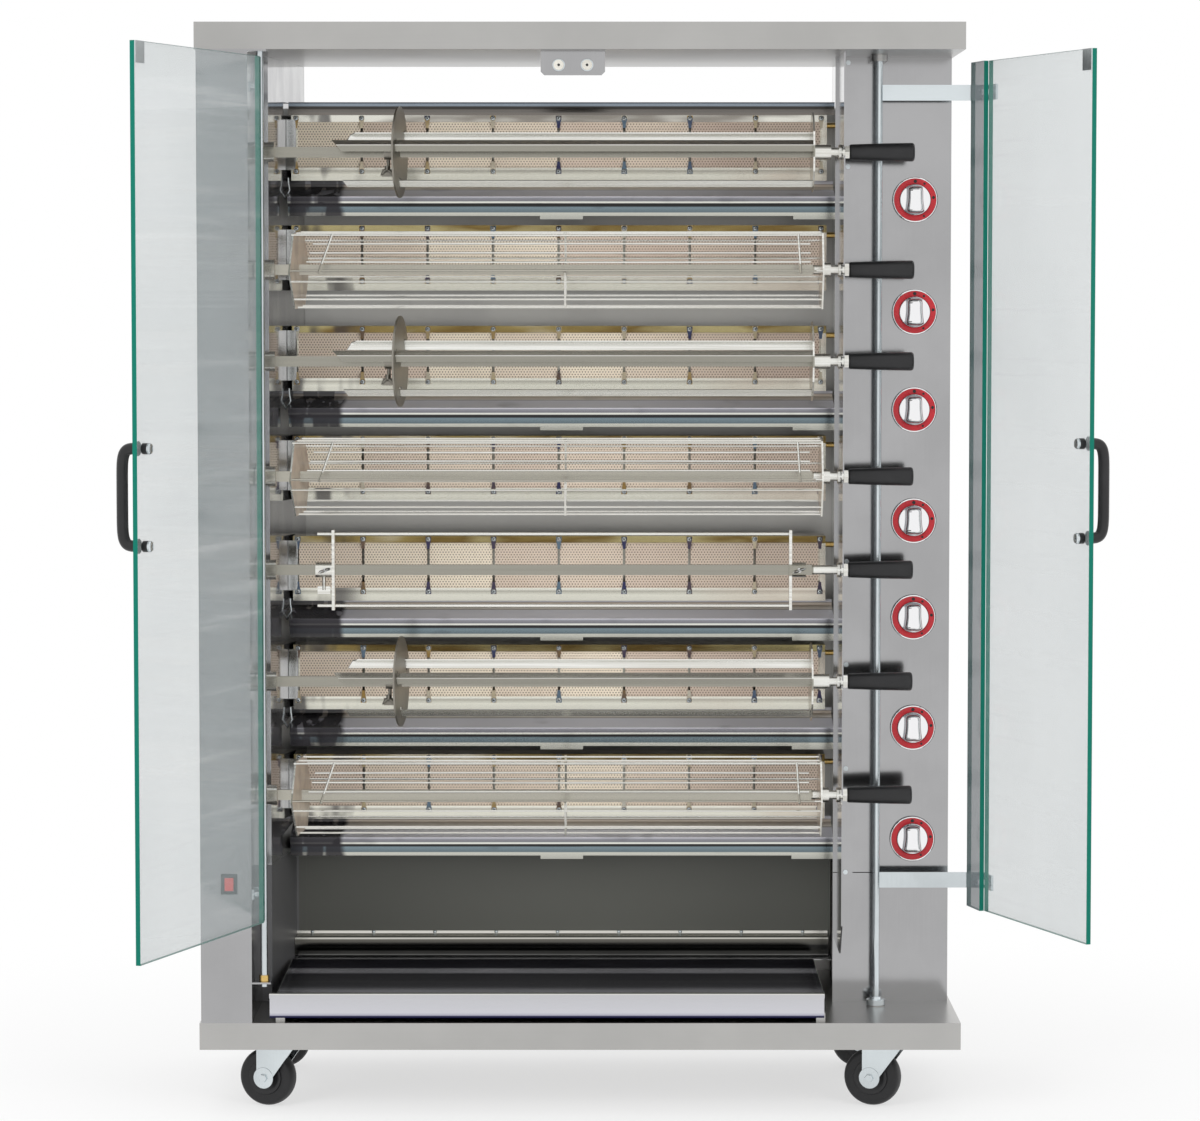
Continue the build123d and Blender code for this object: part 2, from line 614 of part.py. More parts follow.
# Burners
def burner_trays():
    """Seven open boxes, each with a rail above and below its tiles and clips that hold the tiles."""
    trays = []
    clips = []
    y = (BURNER_FACE_Y, BURNER_FACE_Y + TRAY_DEPTH)
    x = (wall_x(y[1], -1) + SEAT_GAP, BURNER_X[1] + TRAY_LIP)
    for z in BURNER_HEIGHTS:
        low = z - TILE_HEIGHT / 2
        high = z + TILE_HEIGHT / 2
        tray = block(x, y, (low - TRAY_BOTTOM_RAIL, high + TRAY_TOP_RAIL))
        tray -= block(BURNER_X, (y[0] - CUT_OVERRUN, y[0] + TILE_RECESS + TILE_THICKNESS), (low, high))
        inside = (BURNER_X[0] + SHEET, BURNER_X[1] - SHEET)
        tray -= block(inside, (y[0] + TILE_RECESS, y[1] - SHEET), (low + SHEET, high - SHEET))
        trays.append(tray)
        for k in range(TILE_COUNT + 1):
            middle = BURNER_X[0] + k * TILE_PITCH
            for edge, outward in ((high, 1), (low, -1)):
                reach = sorted((edge - outward * CLIP_REACH / 2, edge + outward * CLIP_REACH))
                clips.append(block(around(middle, CLIP_WIDTH), (y[0] - SHEET, y[0]), reach))
    node("burner_trays", *trays)
    node("burner_clips", *clips)


def ceramic_tiles():
    """Eight tiles side by side in each burner."""
    tiles = []
    for z in BURNER_HEIGHTS:
        for k in range(TILE_COUNT):
            x = BURNER_X[0] + (k + 1 / 2) * TILE_PITCH
            front = BURNER_FACE_Y + TILE_RECESS
            tiles.append(block(around(x, TILE_WIDTH), (front, front + TILE_THICKNESS), around(z, TILE_HEIGHT)))
    node("ceramic_tiles", *tiles)


def deflector_shelves():
    """Folded shelves below the burners, with a cross rail in front of each."""
    pieces = []
    for row in SHELF_ROWS:
        top = BURNER_HEIGHTS[row] - TILE_HEIGHT / 2 - TRAY_BOTTOM_RAIL
        back = BURNER_FACE_Y + TRAY_DEPTH / 2
        start = top - SHELF_DROP
        section = [(back, top), (back, start), (back - SHELF_RUN, start - SHELF_FALL),
                   (back - SHELF_RUN, start - SHELF_FALL - SHELF_FRONT_FLANGE)]
        x = (wall_x(back, -1) + SEAT_GAP, wall_x(back - SHELF_RUN, 1) - SEAT_GAP)
        pieces.append(prism_x(folded(section, SHEET), x))
        rail_y = back - SHELF_RUN + RAIL_SETBACK
        rail_top = start - SHELF_FALL
        rail = block(x, (rail_y, rail_y + SHEET), (rail_top - RAIL_HEIGHT - SHELF_FRONT_FLANGE, rail_top))
        pieces.append(rail)
        tab_z = (rail_top - SHELF_FRONT_FLANGE - RAIL_TAB_HEIGHT, rail_top - SHELF_FRONT_FLANGE)
        tab_y = (rail_y - SHEET, rail_y)
        pieces.append(block(around(sum(x) / 2, RAIL_TAB_WIDTH), tab_y, tab_z))
        pieces.append(block((x[1] - RAIL_END_WIDTH, x[1]), tab_y, tab_z))
    node("deflector_shelves", *pieces)


# Gas supply
def tube(points, radius):
    """A tube of straight runs that meet at mitred elbows, each run along one axis."""
    runs = []
    for start, end in zip(points, points[1:]):
        low = [min(a, b) - (radius if a == b else 0) for a, b in zip(start, end)]
        high = [max(a, b) + (radius if a == b else 0) for a, b in zip(start, end)]
        runs.append((low, high))
    elbows = [[(a - radius, a + radius) for a in point] for point in points[1:-1]]
    solid = block(*zip(*runs[0]))
    for low, high in runs[1:]:
        solid += block(*zip(low, high))
    for elbow in elbows:
        solid += block(*elbow)
    return solid


def gas_train():
    """The manifold, a tap behind each knob, a feed tube to each burner and the inlet at the back."""
    foot = INLET_Z - 2 * MANIFOLD_RADIUS
    manifold = rod_z(KNOB_X, MANIFOLD_Y, (foot, KNOB_HEIGHTS[0] + 2 * MANIFOLD_RADIUS), MANIFOLD_RADIUS)
    inlet = rod_y(KNOB_X, (MANIFOLD_Y, CABINET_DEPTH), INLET_Z, MANIFOLD_RADIUS)
    inlet += rod_y(KNOB_X, (CABINET_DEPTH, CABINET_DEPTH + INLET_LENGTH), INLET_Z, INLET_RADIUS)
    inlet -= rod_y(KNOB_X, (MANIFOLD_Y + INLET_LENGTH, CABINET_DEPTH + INLET_LENGTH + CUT_OVERRUN), INLET_Z,
                   INLET_BORE_RADIUS)
    train = manifold + inlet
    tap_front = RIGHT_FACE_Y + SHEET + KNOB_GAP
    tubes = []
    for row, z in enumerate(KNOB_HEIGHTS):
        train += rod_y(KNOB_X, (tap_front, MANIFOLD_Y), z, TAP_BODY_RADIUS)
        train -= rod_y(KNOB_X, (tap_front - CUT_OVERRUN, RIGHT_FACE_Y + KNOB_STEM_LENGTH + KNOB_GAP), z,
                       KNOB_STEM_RADIUS + RUNNING_GAP)
        side_x = KNOB_X - TAP_BODY_RADIUS
        turn_x = side_x - TUBE_RISE
        tap_y = tap_front + TAP_BODY_LENGTH
        end = (INJECTOR_X[1], INJECTOR_Y, injector_height(row))
        points = [(side_x, tap_y, z), (turn_x, tap_y, z), (turn_x, tap_y, end[2]), (turn_x, INJECTOR_Y, end[2]), end]
        tubes.append(tube(points, TUBE_RADIUS))
    node("gas_train", train, *tubes)


def injector_height(row):
    """The height of a burner's injector, level with its top rail."""
    return BURNER_HEIGHTS[row] + TILE_HEIGHT / 2 - INJECTOR_RADIUS


def gas_injectors():
    """A brass injector at the right end of each burner."""
    node("gas_injectors", *[rod_x(INJECTOR_X, INJECTOR_Y, injector_height(row), INJECTOR_RADIUS)
                            for row in range(len(ROW_TOOLS))])


# Drive
def stadium(half_width, low, high, x):
    """A slab along X with parallel sides and round ends about the spits' plane."""
    slab = block(x, around(SPIT_Y, 2 * half_width), (low, high))
    return slab + rod_x(x, SPIT_Y, low, half_width) + rod_x(x, SPIT_Y, high, half_width)


def sprocket(x, z):
    """A toothed wheel on the drive's plane."""
    corners = []
    for k in range(2 * SPROCKET_TEETH):
        radius = SPROCKET_RADIUS - (SPROCKET_TOOTH if k % 2 else 0)
        angle = pi * k / SPROCKET_TEETH
        corners.append((SPIT_Y + radius * cos(angle), z + radius * sin(angle)))
    return prism_x(corners, x)


def drive_chain_and_motor():
    """The endless chain round all the sprockets, and the gear motor on the base of the column."""
    outer = stadium(CHAIN_HALF_WIDTH + CHAIN_THICKNESS, DRIVER_Z, SPIT_HEIGHTS[0], CHAIN_X)
    inner = stadium(CHAIN_HALF_WIDTH, DRIVER_Z, SPIT_HEIGHTS[0],
                    (CHAIN_X[0] - CUT_OVERRUN, CHAIN_X[1] + CUT_OVERRUN))
    box_x = (CHAIN_X[0] - SEAT_GAP - SPROCKET_THICKNESS - GEARBOX_WIDTH, CHAIN_X[0] - SEAT_GAP - SPROCKET_THICKNESS)
    gearbox = block(box_x, around(SPIT_Y, GEARBOX_SIZE), around(DRIVER_Z, GEARBOX_SIZE))
    gearbox -= rod_x((box_x[0] + CUT_OVERRUN, box_x[1] + CUT_OVERRUN), SPIT_Y, DRIVER_Z,
                     DRIVE_SHAFT_RADIUS + RUNNING_GAP)
    motor_y = SPIT_Y + GEARBOX_SIZE / 2
    motor = rod_y(sum(box_x) / 2, (motor_y, motor_y + MOTOR_LENGTH), DRIVER_Z, GEARBOX_WIDTH / 2)
    foot = block((box_x[0] - HEAVY_SHEET, box_x[0]), around(SPIT_Y, GEARBOX_SIZE),
                 (BASE_TOP, DRIVER_Z + GEARBOX_SIZE / 2))
    node("drive_chain_and_motor", outer - inner, gearbox + motor, foot)


def drive_sprocket():
    """The motor's sprocket on its shaft."""
    box_right = CHAIN_X[0] - SEAT_GAP - SPROCKET_THICKNESS
    shaft = rod_x((box_right - GEARBOX_WIDTH + 2 * CUT_OVERRUN, CHAIN_X[1]), SPIT_Y, DRIVER_Z, DRIVE_SHAFT_RADIUS)
    node("drive_sprocket", shaft + sprocket(SPROCKET_X, DRIVER_Z))


# Spits, each built about its own axis and then lifted to its row
def at_row(row, *pieces):
    """Pieces made about the X axis, moved to a row's spit."""
    return [Pos(0, SPIT_Y, SPIT_HEIGHTS[row]) * piece for piece in pieces]


def drive_socket():
    """The socket that turns a spit, with its shaft through the bearing and its sprocket."""
    sleeve_x = (LEFT_INNER_X + SOCKET_GAP, LEFT_INNER_X + SOCKET_LENGTH)
    socket = rod_x(sleeve_x, 0, 0, SOCKET_RADIUS) + rod_x((CHAIN_X[0], sleeve_x[0]), 0, 0, DRIVE_SHAFT_RADIUS)
    socket += Pos(0, -SPIT_Y, 0) * sprocket(SPROCKET_X, 0)
    pocket_y = around(0, SPIT_FLAT_THICKNESS + 2 * RUNNING_GAP)
    pocket_z = around(0, SPIT_FLAT_HEIGHT + 2 * RUNNING_GAP)
    return socket - block((sleeve_x[0] + SHEET, sleeve_x[1] + CUT_OVERRUN), pocket_y, pocket_z)


def spit_bar():
    """The flat bar with its round journal, collar, nut and the tang inside the grip."""
    start = LEFT_INNER_X + SOCKET_GAP + SHEET + RUNNING_GAP
    bar = block((start, JOURNAL_X), around(0, SPIT_FLAT_THICKNESS), around(0, SPIT_FLAT_HEIGHT))
    bar += rod_x((JOURNAL_X, GRIP_X[0]), 0, 0, SPIT_RADIUS)
    bar += rod_x((SUPPORT_X[0] - SEAT_GAP - RING_LENGTH, SUPPORT_X[0] - SEAT_GAP), 0, 0, RING_RADIUS)
    nut_x = (SUPPORT_X[1] + NUT_GAP, GRIP_X[0])
    bar += prism_x(polygon(NUT_RADIUS, 6), nut_x)
    return bar + rod_x((GRIP_X[0], GRIP_X[1] - GRIP_LENGTH / 3), 0, 0, GRIP_BORE_RADIUS)


def wing_screw(x, radius):
    """A thumb screw that hangs below a hub of a given radius."""
    screw = rod_z(x, 0, (-radius - WING_SCREW_LENGTH, -SPIT_FLAT_HEIGHT / 2 - SEAT_GAP), WING_SCREW_RADIUS)
    wings = block(around(x, WING_WIDTH), around(0, WING_THICKNESS),
                  (-radius - WING_SCREW_LENGTH - WING_HEIGHT / 2, -radius - WING_SCREW_LENGTH + WING_HEIGHT / 2))
    return screw + wings


def flat_bore(x):
    """The slot that slides along the flat bar."""
    return block(x, around(0, SPIT_FLAT_THICKNESS + 2 * RUNNING_GAP), around(0, SPIT_FLAT_HEIGHT + 2 * RUNNING_GAP))


def blade_section(extra=0):
    """The L section of a blade, its corner outwards along Y."""
    reach = BLADE_LEG / sqrt(2)
    points = [(BLADE_RADIUS - reach, -reach), (BLADE_RADIUS, 0), (BLADE_RADIUS - reach, reach)]
    if not extra:
        return folded(points, BLADE_THICKNESS)
    inner = BLADE_RADIUS - reach - BLADE_THICKNESS * sqrt(2) - extra
    outer = BLADE_RADIUS - reach + extra / 2
    return [(inner, -reach - extra), (outer, -reach - extra), (BLADE_RADIUS + extra, -extra / 2),
            (BLADE_RADIUS + extra, extra / 2), (outer, reach + extra), (inner, reach + extra)]


def blade_tool():
    """The end plate with its hub and three pointed blades."""
    plate_x = (END_PLATE_X, END_PLATE_X + END_PLATE_THICKNESS)
    tool = prism_x(polygon(END_PLATE_RADIUS + BLADE_THICKNESS, 12), plate_x)
    hub_x = (plate_x[1], plate_x[1] + END_HUB_LENGTH)
    tool += rod_x(hub_x, 0, 0, END_HUB_RADIUS)
    half = BLADE_LEG
    for share, gap in zip(BLADE_ANGLE_SHARES, BLADE_TIP_GAPS):
        tip = LEFT_INNER_X + gap
        blade = prism_x(blade_section(), (tip, plate_x[0]))
        slope = [(tip - CUT_OVERRUN, -half), (tip, -half), (tip + 2 * BLADE_POINT, half), (tip - CUT_OVERRUN, half)]
        blade -= prism_y(slope, (0, 2 * BLADE_RADIUS))
        tool += Rot(360 * share, 0, 0) * blade
    return tool - flat_bore((plate_x[0] - CUT_OVERRUN, hub_x[1] + CUT_OVERRUN)) - journal_bore(hub_x)


def journal_bore(x):
    """The round bore where a hub sits over the spit's journal."""
    if x[1] < JOURNAL_X:
        return []
    return rod_x((min(x[0], JOURNAL_X) - CUT_OVERRUN, x[1] + CUT_OVERRUN), 0, 0, SPIT_RADIUS + RUNNING_GAP)


def sliding_disc():
    """The tilted disc with windows for the blades, and its hub with a thumb screw."""
    middle = LEFT_INNER_X + DISC_X_GAP
    disc = Pos(middle, 0, 0) * Rot(0, 0, -DISC_TILT) * rod_x(around(0, DISC_THICKNESS), 0, 0, DISC_RADIUS)
    window_x = (middle - DISC_RADIUS, middle + DISC_RADIUS)
    for share in BLADE_ANGLE_SHARES:
        disc -= Rot(360 * share, 0, 0) * prism_x(blade_section(DISC_WINDOW_CLEARANCE), window_x)
    hub_x = (middle - DISC_HUB_LENGTH - DISC_HUB_RADIUS / 2, middle)
    disc += rod_x(hub_x, 0, 0, DISC_HUB_RADIUS)
    disc -= flat_bore(window_x)
    screw_x = (hub_x[0] + middle) / 2 - SPIT_FLAT_THICKNESS
    return disc + wing_screw(screw_x, DISC_HUB_RADIUS)


def basket_corners(radius):
    """The six corners of a basket's section."""
    return polygon(radius, 6, BASKET_TURN_SHARE)


def along(start, end, share):
    """The point at a share of the way between two others."""
    return tuple(a + share * (b - a) for a, b in zip(start, end))


def wire(x, point):
    """A straight basket wire."""
    return prism_x([(point[0] + a, point[1] + b) for a, b in polygon(WIRE_RADIUS, WIRE_FACETS)], x)


def slanted_face(y):
    """The inner face of the basket's slanted end plate at a depth from the spit."""
    slant = radians(BASKET_PLATE_SLANT)
    return LEFT_INNER_X + BASKET_LEFT_GAP + y * tan(slant) + BASKET_PLATE_THICKNESS / cos(slant)


def basket_tool():
    """The basket's end plates, wires and middle rib; its lid covers the side between two corners."""
    corners = basket_corners(BASKET_RADIUS)
    left = LEFT_INNER_X + BASKET_LEFT_GAP
    plates = Pos(left, 0, 0) * Rot(0, 0, -BASKET_PLATE_SLANT) * prism_x(corners, (0, BASKET_PLATE_THICKNESS))
    plates += prism_x(corners, BASKET_RIGHT_PLATE)
    for side in range(1, 6):
        start = corners[(LID_SIDE + side) % 6]
        end = corners[(LID_SIDE + side + 1) % 6]
        for k in range(BASKET_WIRES_PER_SIDE):
            point = along(start, end, (k + 1 / 2) / BASKET_WIRES_PER_SIDE)
            inset = 1 - WIRE_RADIUS / hypot(*point)
            place = (point[0] * inset, point[1] * inset)
            first = slanted_face(place[0]) - BASKET_PLATE_THICKNESS / 2
            plates += wire((first, BASKET_RIGHT_PLATE[0] + BASKET_PLATE_THICKNESS / 2), place)
    inner = basket_corners(BASKET_RADIUS - WIRE_RADIUS)
    ribs = [inner[(LID_SIDE + side) % 6] for side in range(1, 7)]
    middle = sum(BASKET_RIGHT_PLATE) / 2 - BASKET_LENGTH * BASKET_RIB_SHARE
    plates += prism_x(folded(ribs, 2 * WIRE_RADIUS), around(middle, 2 * WIRE_RADIUS))
    plates += rod_x((BASKET_RIGHT_PLATE[1], BASKET_RIGHT_PLATE[1] + LATCH_LENGTH), 0, 0, END_HUB_RADIUS)
    hub_x = (BASKET_RIGHT_PLATE[0], BASKET_RIGHT_PLATE[1] + LATCH_LENGTH)
    return plates - flat_bore((left - CUT_OVERRUN - BASKET_RADIUS, hub_x[1])) - journal_bore(hub_x)


def basket_lid():
    """The basket's hinged lid: two frame bars with wires between them and a hinge wire."""
    corners = basket_corners(BASKET_RADIUS)
    edge = corners[LID_SIDE]
    hinge = corners[LID_SIDE + 1]
    start = along(hinge, edge, LID_GAP_SHARE)
    end = along(hinge, edge, 1 - LID_GAP_SHARE)
    x = (LEFT_INNER_X + BASKET_LEFT_GAP + LID_LEFT_INSET, BASKET_RIGHT_PLATE[0] - LID_RIGHT_INSET)
    right = BASKET_RIGHT_PLATE[0] - SEAT_GAP
    lid = rod_x((slanted_face(start[0]) + 2 * SEAT_GAP, right), *start, WIRE_RADIUS)
    lid += wire((slanted_face(end[0]) + LID_END_GAP, right), end)
    inner = (x[0] - LID_WIRE_OVERHANG, x[1] + LID_WIRE_OVERHANG)
    for k in range(1, LID_WIRE_COUNT - 1):
        lid += wire(inner, along(start, end, k / (LID_WIRE_COUNT - 1)))
    bar = folded([start, end], 2 * WIRE_RADIUS)
    for place in x:
        lid += prism_x(bar, around(place, 2 * WIRE_RADIUS))
    return lid


def fork_tool():
    """The fixed fork plate with two long prongs, a short one and its hub."""
    plate_x = (FORK_X, FORK_X + FORK_THICKNESS)
    fork = block(plate_x, around(0, FORK_WIDTH), around(0, 2 * FORK_HALF_HEIGHT))
    hub_x = (plate_x[1], plate_x[1] + FORK_HUB_LENGTH)
    fork += rod_x(hub_x, 0, 0, END_HUB_RADIUS)
    for side in (1, -1):
        fork += rod_x((LEFT_INNER_X + PRONG_TIP_GAP, plate_x[0]), 0, side * PRONG_OFFSET, PRONG_RADIUS)
    return fork - flat_bore((plate_x[0] - CUT_OVERRUN, hub_x[1] + CUT_OVERRUN)) - journal_bore(hub_x)


def fork_clamp():
    """The sliding plate near the prongs' tips, with its hub and thumb screw."""
    plate_x = (LEFT_INNER_X + CLAMP_X_GAP, LEFT_INNER_X + CLAMP_X_GAP + FORK_THICKNESS)
    hub_x = (plate_x[0] - CLAMP_HUB_LENGTH, plate_x[0])
    clamp = block(plate_x, around(0, FORK_WIDTH), around(0, 2 * FORK_HALF_HEIGHT))
    for side in (1, -1):
        clamp -= rod_x(plate_x, 0, side * PRONG_OFFSET, PRONG_RADIUS + RUNNING_GAP)
    clamp += rod_x(hub_x, 0, 0, END_HUB_RADIUS)
    return clamp - flat_bore((hub_x[0] - CUT_OVERRUN, plate_x[1] + CUT_OVERRUN)) + wing_screw(sum(hub_x) / 2,
                                                                                         END_HUB_RADIUS)


def spit_grip():
    """The tapered grip over the spit's tang."""
    faces = [Plane(origin=(x, 0, 0), z_dir=(1, 0, 0)) * RegularPolygon(radius, GRIP_FACETS)
             for x, radius in ((GRIP_X[0], GRIP_SMALL_RADIUS), (GRIP_X[1] - GRIP_CHAMFER, GRIP_LARGE_RADIUS),
                               (GRIP_X[1], GRIP_LARGE_RADIUS - GRIP_CHAMFER))]
    grip = loft(faces[:2], ruled=True) + loft(faces[1:], ruled=True)
    bore_x = (GRIP_X[0] - CUT_OVERRUN, GRIP_X[1] - GRIP_LENGTH / 3)
    return grip - prism_x(polygon((GRIP_BORE_RADIUS + RUNNING_GAP) / cos(pi / 8), 8), bore_x)


def spits():
    """The seven spits with their tools and grips."""
    for row, tool in enumerate(ROW_TOOLS):
        number = row + 1
        pieces = [drive_socket(), spit_bar()]
        if tool == "blades":
            pieces.append(blade_tool())
            node(f"sliding_disc_{number}", *at_row(row, sliding_disc()))
        elif tool == "basket":
            pieces.append(basket_tool())
            node(f"basket_lid_{number}", *at_row(row, basket_lid()))
        else:
            pieces.append(fork_tool())
            node(f"fork_clamp_{number}", *at_row(row, fork_clamp()))
        node(f"spit_{number}", *at_row(row, *pieces))
        node(f"spit_grip_{number}", *at_row(row, spit_grip()))


# Doors, each built where it hangs closed and then swung open about its rod
def swung(solid, x, y, angle):
    """A solid turned about a vertical rod."""
    return Pos(x, y, 0) * Rot(0, 0, angle) * Pos(-x, -y, 0) * solid


def handle(x, angle, rod_x_place, rod_y_place):
    """A bow handle with a cap nut behind each foot, swung open with its door."""
    face = DOOR_PLANE_Y - GLASS_THICKNESS / 2
    low, high = around(HANDLE_HEIGHT, HANDLE_SPACING)
    grip = 2 * HANDLE_RADIUS
    outer = [(face, low - grip / 2), (face - HANDLE_REACH + HANDLE_BEND, low - grip / 2),
             (face - HANDLE_REACH, low - grip / 2 + HANDLE_BEND), (face - HANDLE_REACH, high + grip / 2 - HANDLE_BEND),
             (face - HANDLE_REACH + HANDLE_BEND, high + grip / 2), (face, high + grip / 2)]
    inner_y = face - HANDLE_REACH + grip
    inner = [(face, high - grip / 2), (inner_y, high - grip / 2), (inner_y, low + grip / 2), (face, low + grip / 2)]
    bow = prism_x(outer + inner, around(x, grip))
    bow = chamfer(bow.edges().filter_by(Axis.X, reverse=True).group_by(Axis.Y)[0], HANDLE_EDGE_CUT)
    back = DOOR_PLANE_Y + GLASS_THICKNESS / 2
    caps = [rod_y(x, (back, back + HANDLE_CAP_LENGTH), z, HANDLE_CAP_RADIUS) for z in (low, high)]
    return [swung(piece, rod_x_place, rod_y_place, angle) for piece in (bow, *caps)]


def catch_clip(x):
    """The steel plate at the top of a pane's free edge, over the magnet when the door is shut."""
    y = DOOR_PLANE_Y + GLASS_THICKNESS / 2
    return block(x, (y, y + CATCH_CLIP_THICKNESS), (DOOR_TOP - CATCH_CLIP_HEIGHT, DOOR_TOP))


def left_door():
    """The left pane and its hinge strip, the rod with its two arms, and the handle."""
    pane_y = around(DOOR_PLANE_Y, GLASS_THICKNESS)
    end = MEETING_X - MEETING_GAP / 2
    pane = block((LEFT_ROD_X + LEFT_PANE_START, end), pane_y, (DOOR_BOTTOM, DOOR_TOP))
    pane = swung(pane, LEFT_ROD_X, LEFT_ROD_Y, -LEFT_DOOR_OPEN)
    x, y = LEFT_ROD_X, LEFT_ROD_Y
    strip_x = (x - LEFT_STRIP_OFFSET, x - LEFT_STRIP_OFFSET + GLASS_THICKNESS)
    strip_y = (y - LEFT_STRIP_GAP - LEFT_STRIP_WIDTH, y - LEFT_STRIP_GAP)
    node("door_left_glass", pane, block(strip_x, strip_y, (DOOR_BOTTOM, DOOR_TOP)))
    rod_end = BUSH_BRACKET_Z - BUSH_BRACKET_THICKNESS - ROD_RADIUS
    frame = rod_z(x, y, (rod_end, ROOF_UNDERSIDE - SEAT_GAP), ROD_RADIUS)
    pieces = []
    for low in (DOOR_BOTTOM + LEFT_ARM_BOTTOM_INSET, DOOR_TOP - LEFT_ARM_TOP_INSET):
        z = (low, low + LEFT_ARM_HEIGHT)
        tab_x = (x - LEFT_ARM_REACH, x)
        frame += block(tab_x, around(y, ARM_THICKNESS), z)
        frame += block((tab_x[0], tab_x[0] + ARM_THICKNESS), (strip_y[0] + ARM_THICKNESS, y), z)
        spacer_x = (tab_x[0] + ARM_THICKNESS, strip_x[0])
        pieces.append(rod_x(spacer_x, sum(strip_y) / 2, sum(z) / 2, SPACER_RADIUS))
    clip = swung(catch_clip((end - CATCH_CLIP_WIDTH, end)), x, y, -LEFT_DOOR_OPEN)
    node("door_left_frame", frame, clip, *pieces)
    node("door_left_handle", *handle(end - HANDLE_EDGE, -LEFT_DOOR_OPEN, x, y))


def right_door():
    """The right pane and its slanted hinge strip, the rod with its two long arms, and the handle."""
    x, y = RIGHT_ROD_X, RIGHT_ROD_Y
    pane_y = around(DOOR_PLANE_Y, GLASS_THICKNESS)
    z = (DOOR_BOTTOM, DOOR_TOP)
    end = MEETING_X + MEETING_GAP / 2
    pane = block((end, x - RIGHT_PANE_START), pane_y, z)
    start = (x - RIGHT_STRIP_START, DOOR_PLANE_Y + RIGHT_STRIP_RISE)
    finish = (x - RIGHT_PANE_START + JOINT_GAP, DOOR_PLANE_Y + RIGHT_STRIP_LIFT)
    strip = prism_z(centred([start, finish], GLASS_THICKNESS), z)
    node("door_right_glass", *[swung(piece, x, y, RIGHT_DOOR_OPEN) for piece in (pane, strip)])

    turn = radians(RIGHT_DOOR_OPEN)
    start, finish = [(x + (a - x) * cos(turn) - (b - y) * sin(turn), y + (a - x) * sin(turn) + (b - y) * cos(turn))
                     for a, b in (start, finish)]
    length = hypot(finish[0] - start[0], finish[1] - start[1])
    run = ((finish[0] - start[0]) / length, (finish[1] - start[1]) / length)
    out = (-run[1], run[0])
    face = GLASS_THICKNESS / 2
    inner_y = y + ROD_RADIUS - SHEET
    anchor = (start[0] + out[0] * (face + RIGHT_SPACER), start[1] + out[1] * (face + RIGHT_SPACER))
    back = (inner_y - anchor[1]) / run[1]
    corner = (anchor[0] + run[0] * back, inner_y)
    tip = (corner[0] + run[0] * RIGHT_ARM_FLANGE, corner[1] + run[1] * RIGHT_ARM_FLANGE)
    frame = rod_z(x, y, (BASE_TOP, ROOF_UNDERSIDE - SEAT_GAP), ROD_RADIUS)
    pieces = []
    for low in (DOOR_BOTTOM + RIGHT_ARM_BOTTOM_INSET, DOOR_TOP - RIGHT_ARM_TOP_INSET):
        arm_z = (low, low + RIGHT_ARM_HEIGHT)
        frame += prism_z(folded([(x, inner_y), corner, tip], ARM_THICKNESS), arm_z)
        depth = RIGHT_ARM_FLANGE * 2 / 3
        at = (start[0] + run[0] * depth + out[0] * face, start[1] + run[1] * depth + out[1] * face)
        spacer = Plane(origin=(*at, sum(arm_z) / 2), z_dir=(*out, 0)) * Circle(SPACER_RADIUS)
        pieces.append(extrude(spacer, RIGHT_SPACER))
    clip = swung(catch_clip((end, end + CATCH_CLIP_WIDTH)), x, y, RIGHT_DOOR_OPEN)
    node("door_right_frame", frame, clip, *pieces)
    node("door_right_handle", *handle(end + HANDLE_EDGE, RIGHT_DOOR_OPEN, x, y))


def centred(line, thickness):
    """The section of a straight sheet about its middle line."""
    (a, b), (c, d) = line
    length = hypot(c - a, d - b)
    side = (-(d - b) * thickness / 2 / length, (c - a) * thickness / 2 / length)
    return [(a - side[0], b - side[1]), (c - side[0], d - side[1]), (c + side[0], d + side[1]),
            (a + side[0], b + side[1])]


def magnet_catch():
    """The bracket under the roof with a round magnet for each door."""
    front = DOOR_PLANE_Y + GLASS_THICKNESS / 2 + CATCH_CLIP_THICKNESS + SEAT_GAP + MAGNET_THICKNESS
    x = around(MEETING_X, CATCH_PLATE_WIDTH)
    low = ROOF_UNDERSIDE - CATCH_PLATE_HEIGHT
    cut = CATCH_PLATE_CORNER
    outline = [(x[0], ROOF_UNDERSIDE), (x[0], low + cut), (x[0] + cut, low), (x[1] - cut, low),
               (x[1], low + cut), (x[1], ROOF_UNDERSIDE)]
    plate = prism_y(outline, (front, front + SHEET))
    plate += block(x, (front, front + CATCH_PLATE_HEIGHT), (ROOF_UNDERSIDE - SHEET, ROOF_UNDERSIDE))
    middle_z = DOOR_TOP - CATCH_CLIP_HEIGHT / 3
    magnets = [rod_y(MEETING_X + side * MAGNET_SPACING / 2, (front - MAGNET_THICKNESS, front), middle_z, MAGNET_RADIUS)
               for side in (-1, 1)]
    node("magnet_catch", plate, *magnets)


# Controls
def knobs():
    """Seven knobs: a skirt, the ring's step, a barrel grip and the stem into the tap."""
    front = RIGHT_FACE_Y - KNOB_GAP
    for row, z in enumerate(KNOB_HEIGHTS):
        skirt = rod_y(KNOB_X, (front - KNOB_SKIRT, front), z, KNOB_RADIUS)
        top = front - KNOB_SKIRT - KNOB_GRIP_HEIGHT
        grip = rod_y(KNOB_X, (top, front), z, KNOB_GRIP_RADIUS)
        grip &= block(around(KNOB_X, 2 * KNOB_GRIP_HALF_WIDTH), (top, front), around(z, 2 * KNOB_GRIP_RADIUS))
        stem = rod_y(KNOB_X, (front, RIGHT_FACE_Y + KNOB_STEM_LENGTH), z, KNOB_STEM_RADIUS)
        node(f"knob_{row + 1}", skirt + grip + stem)


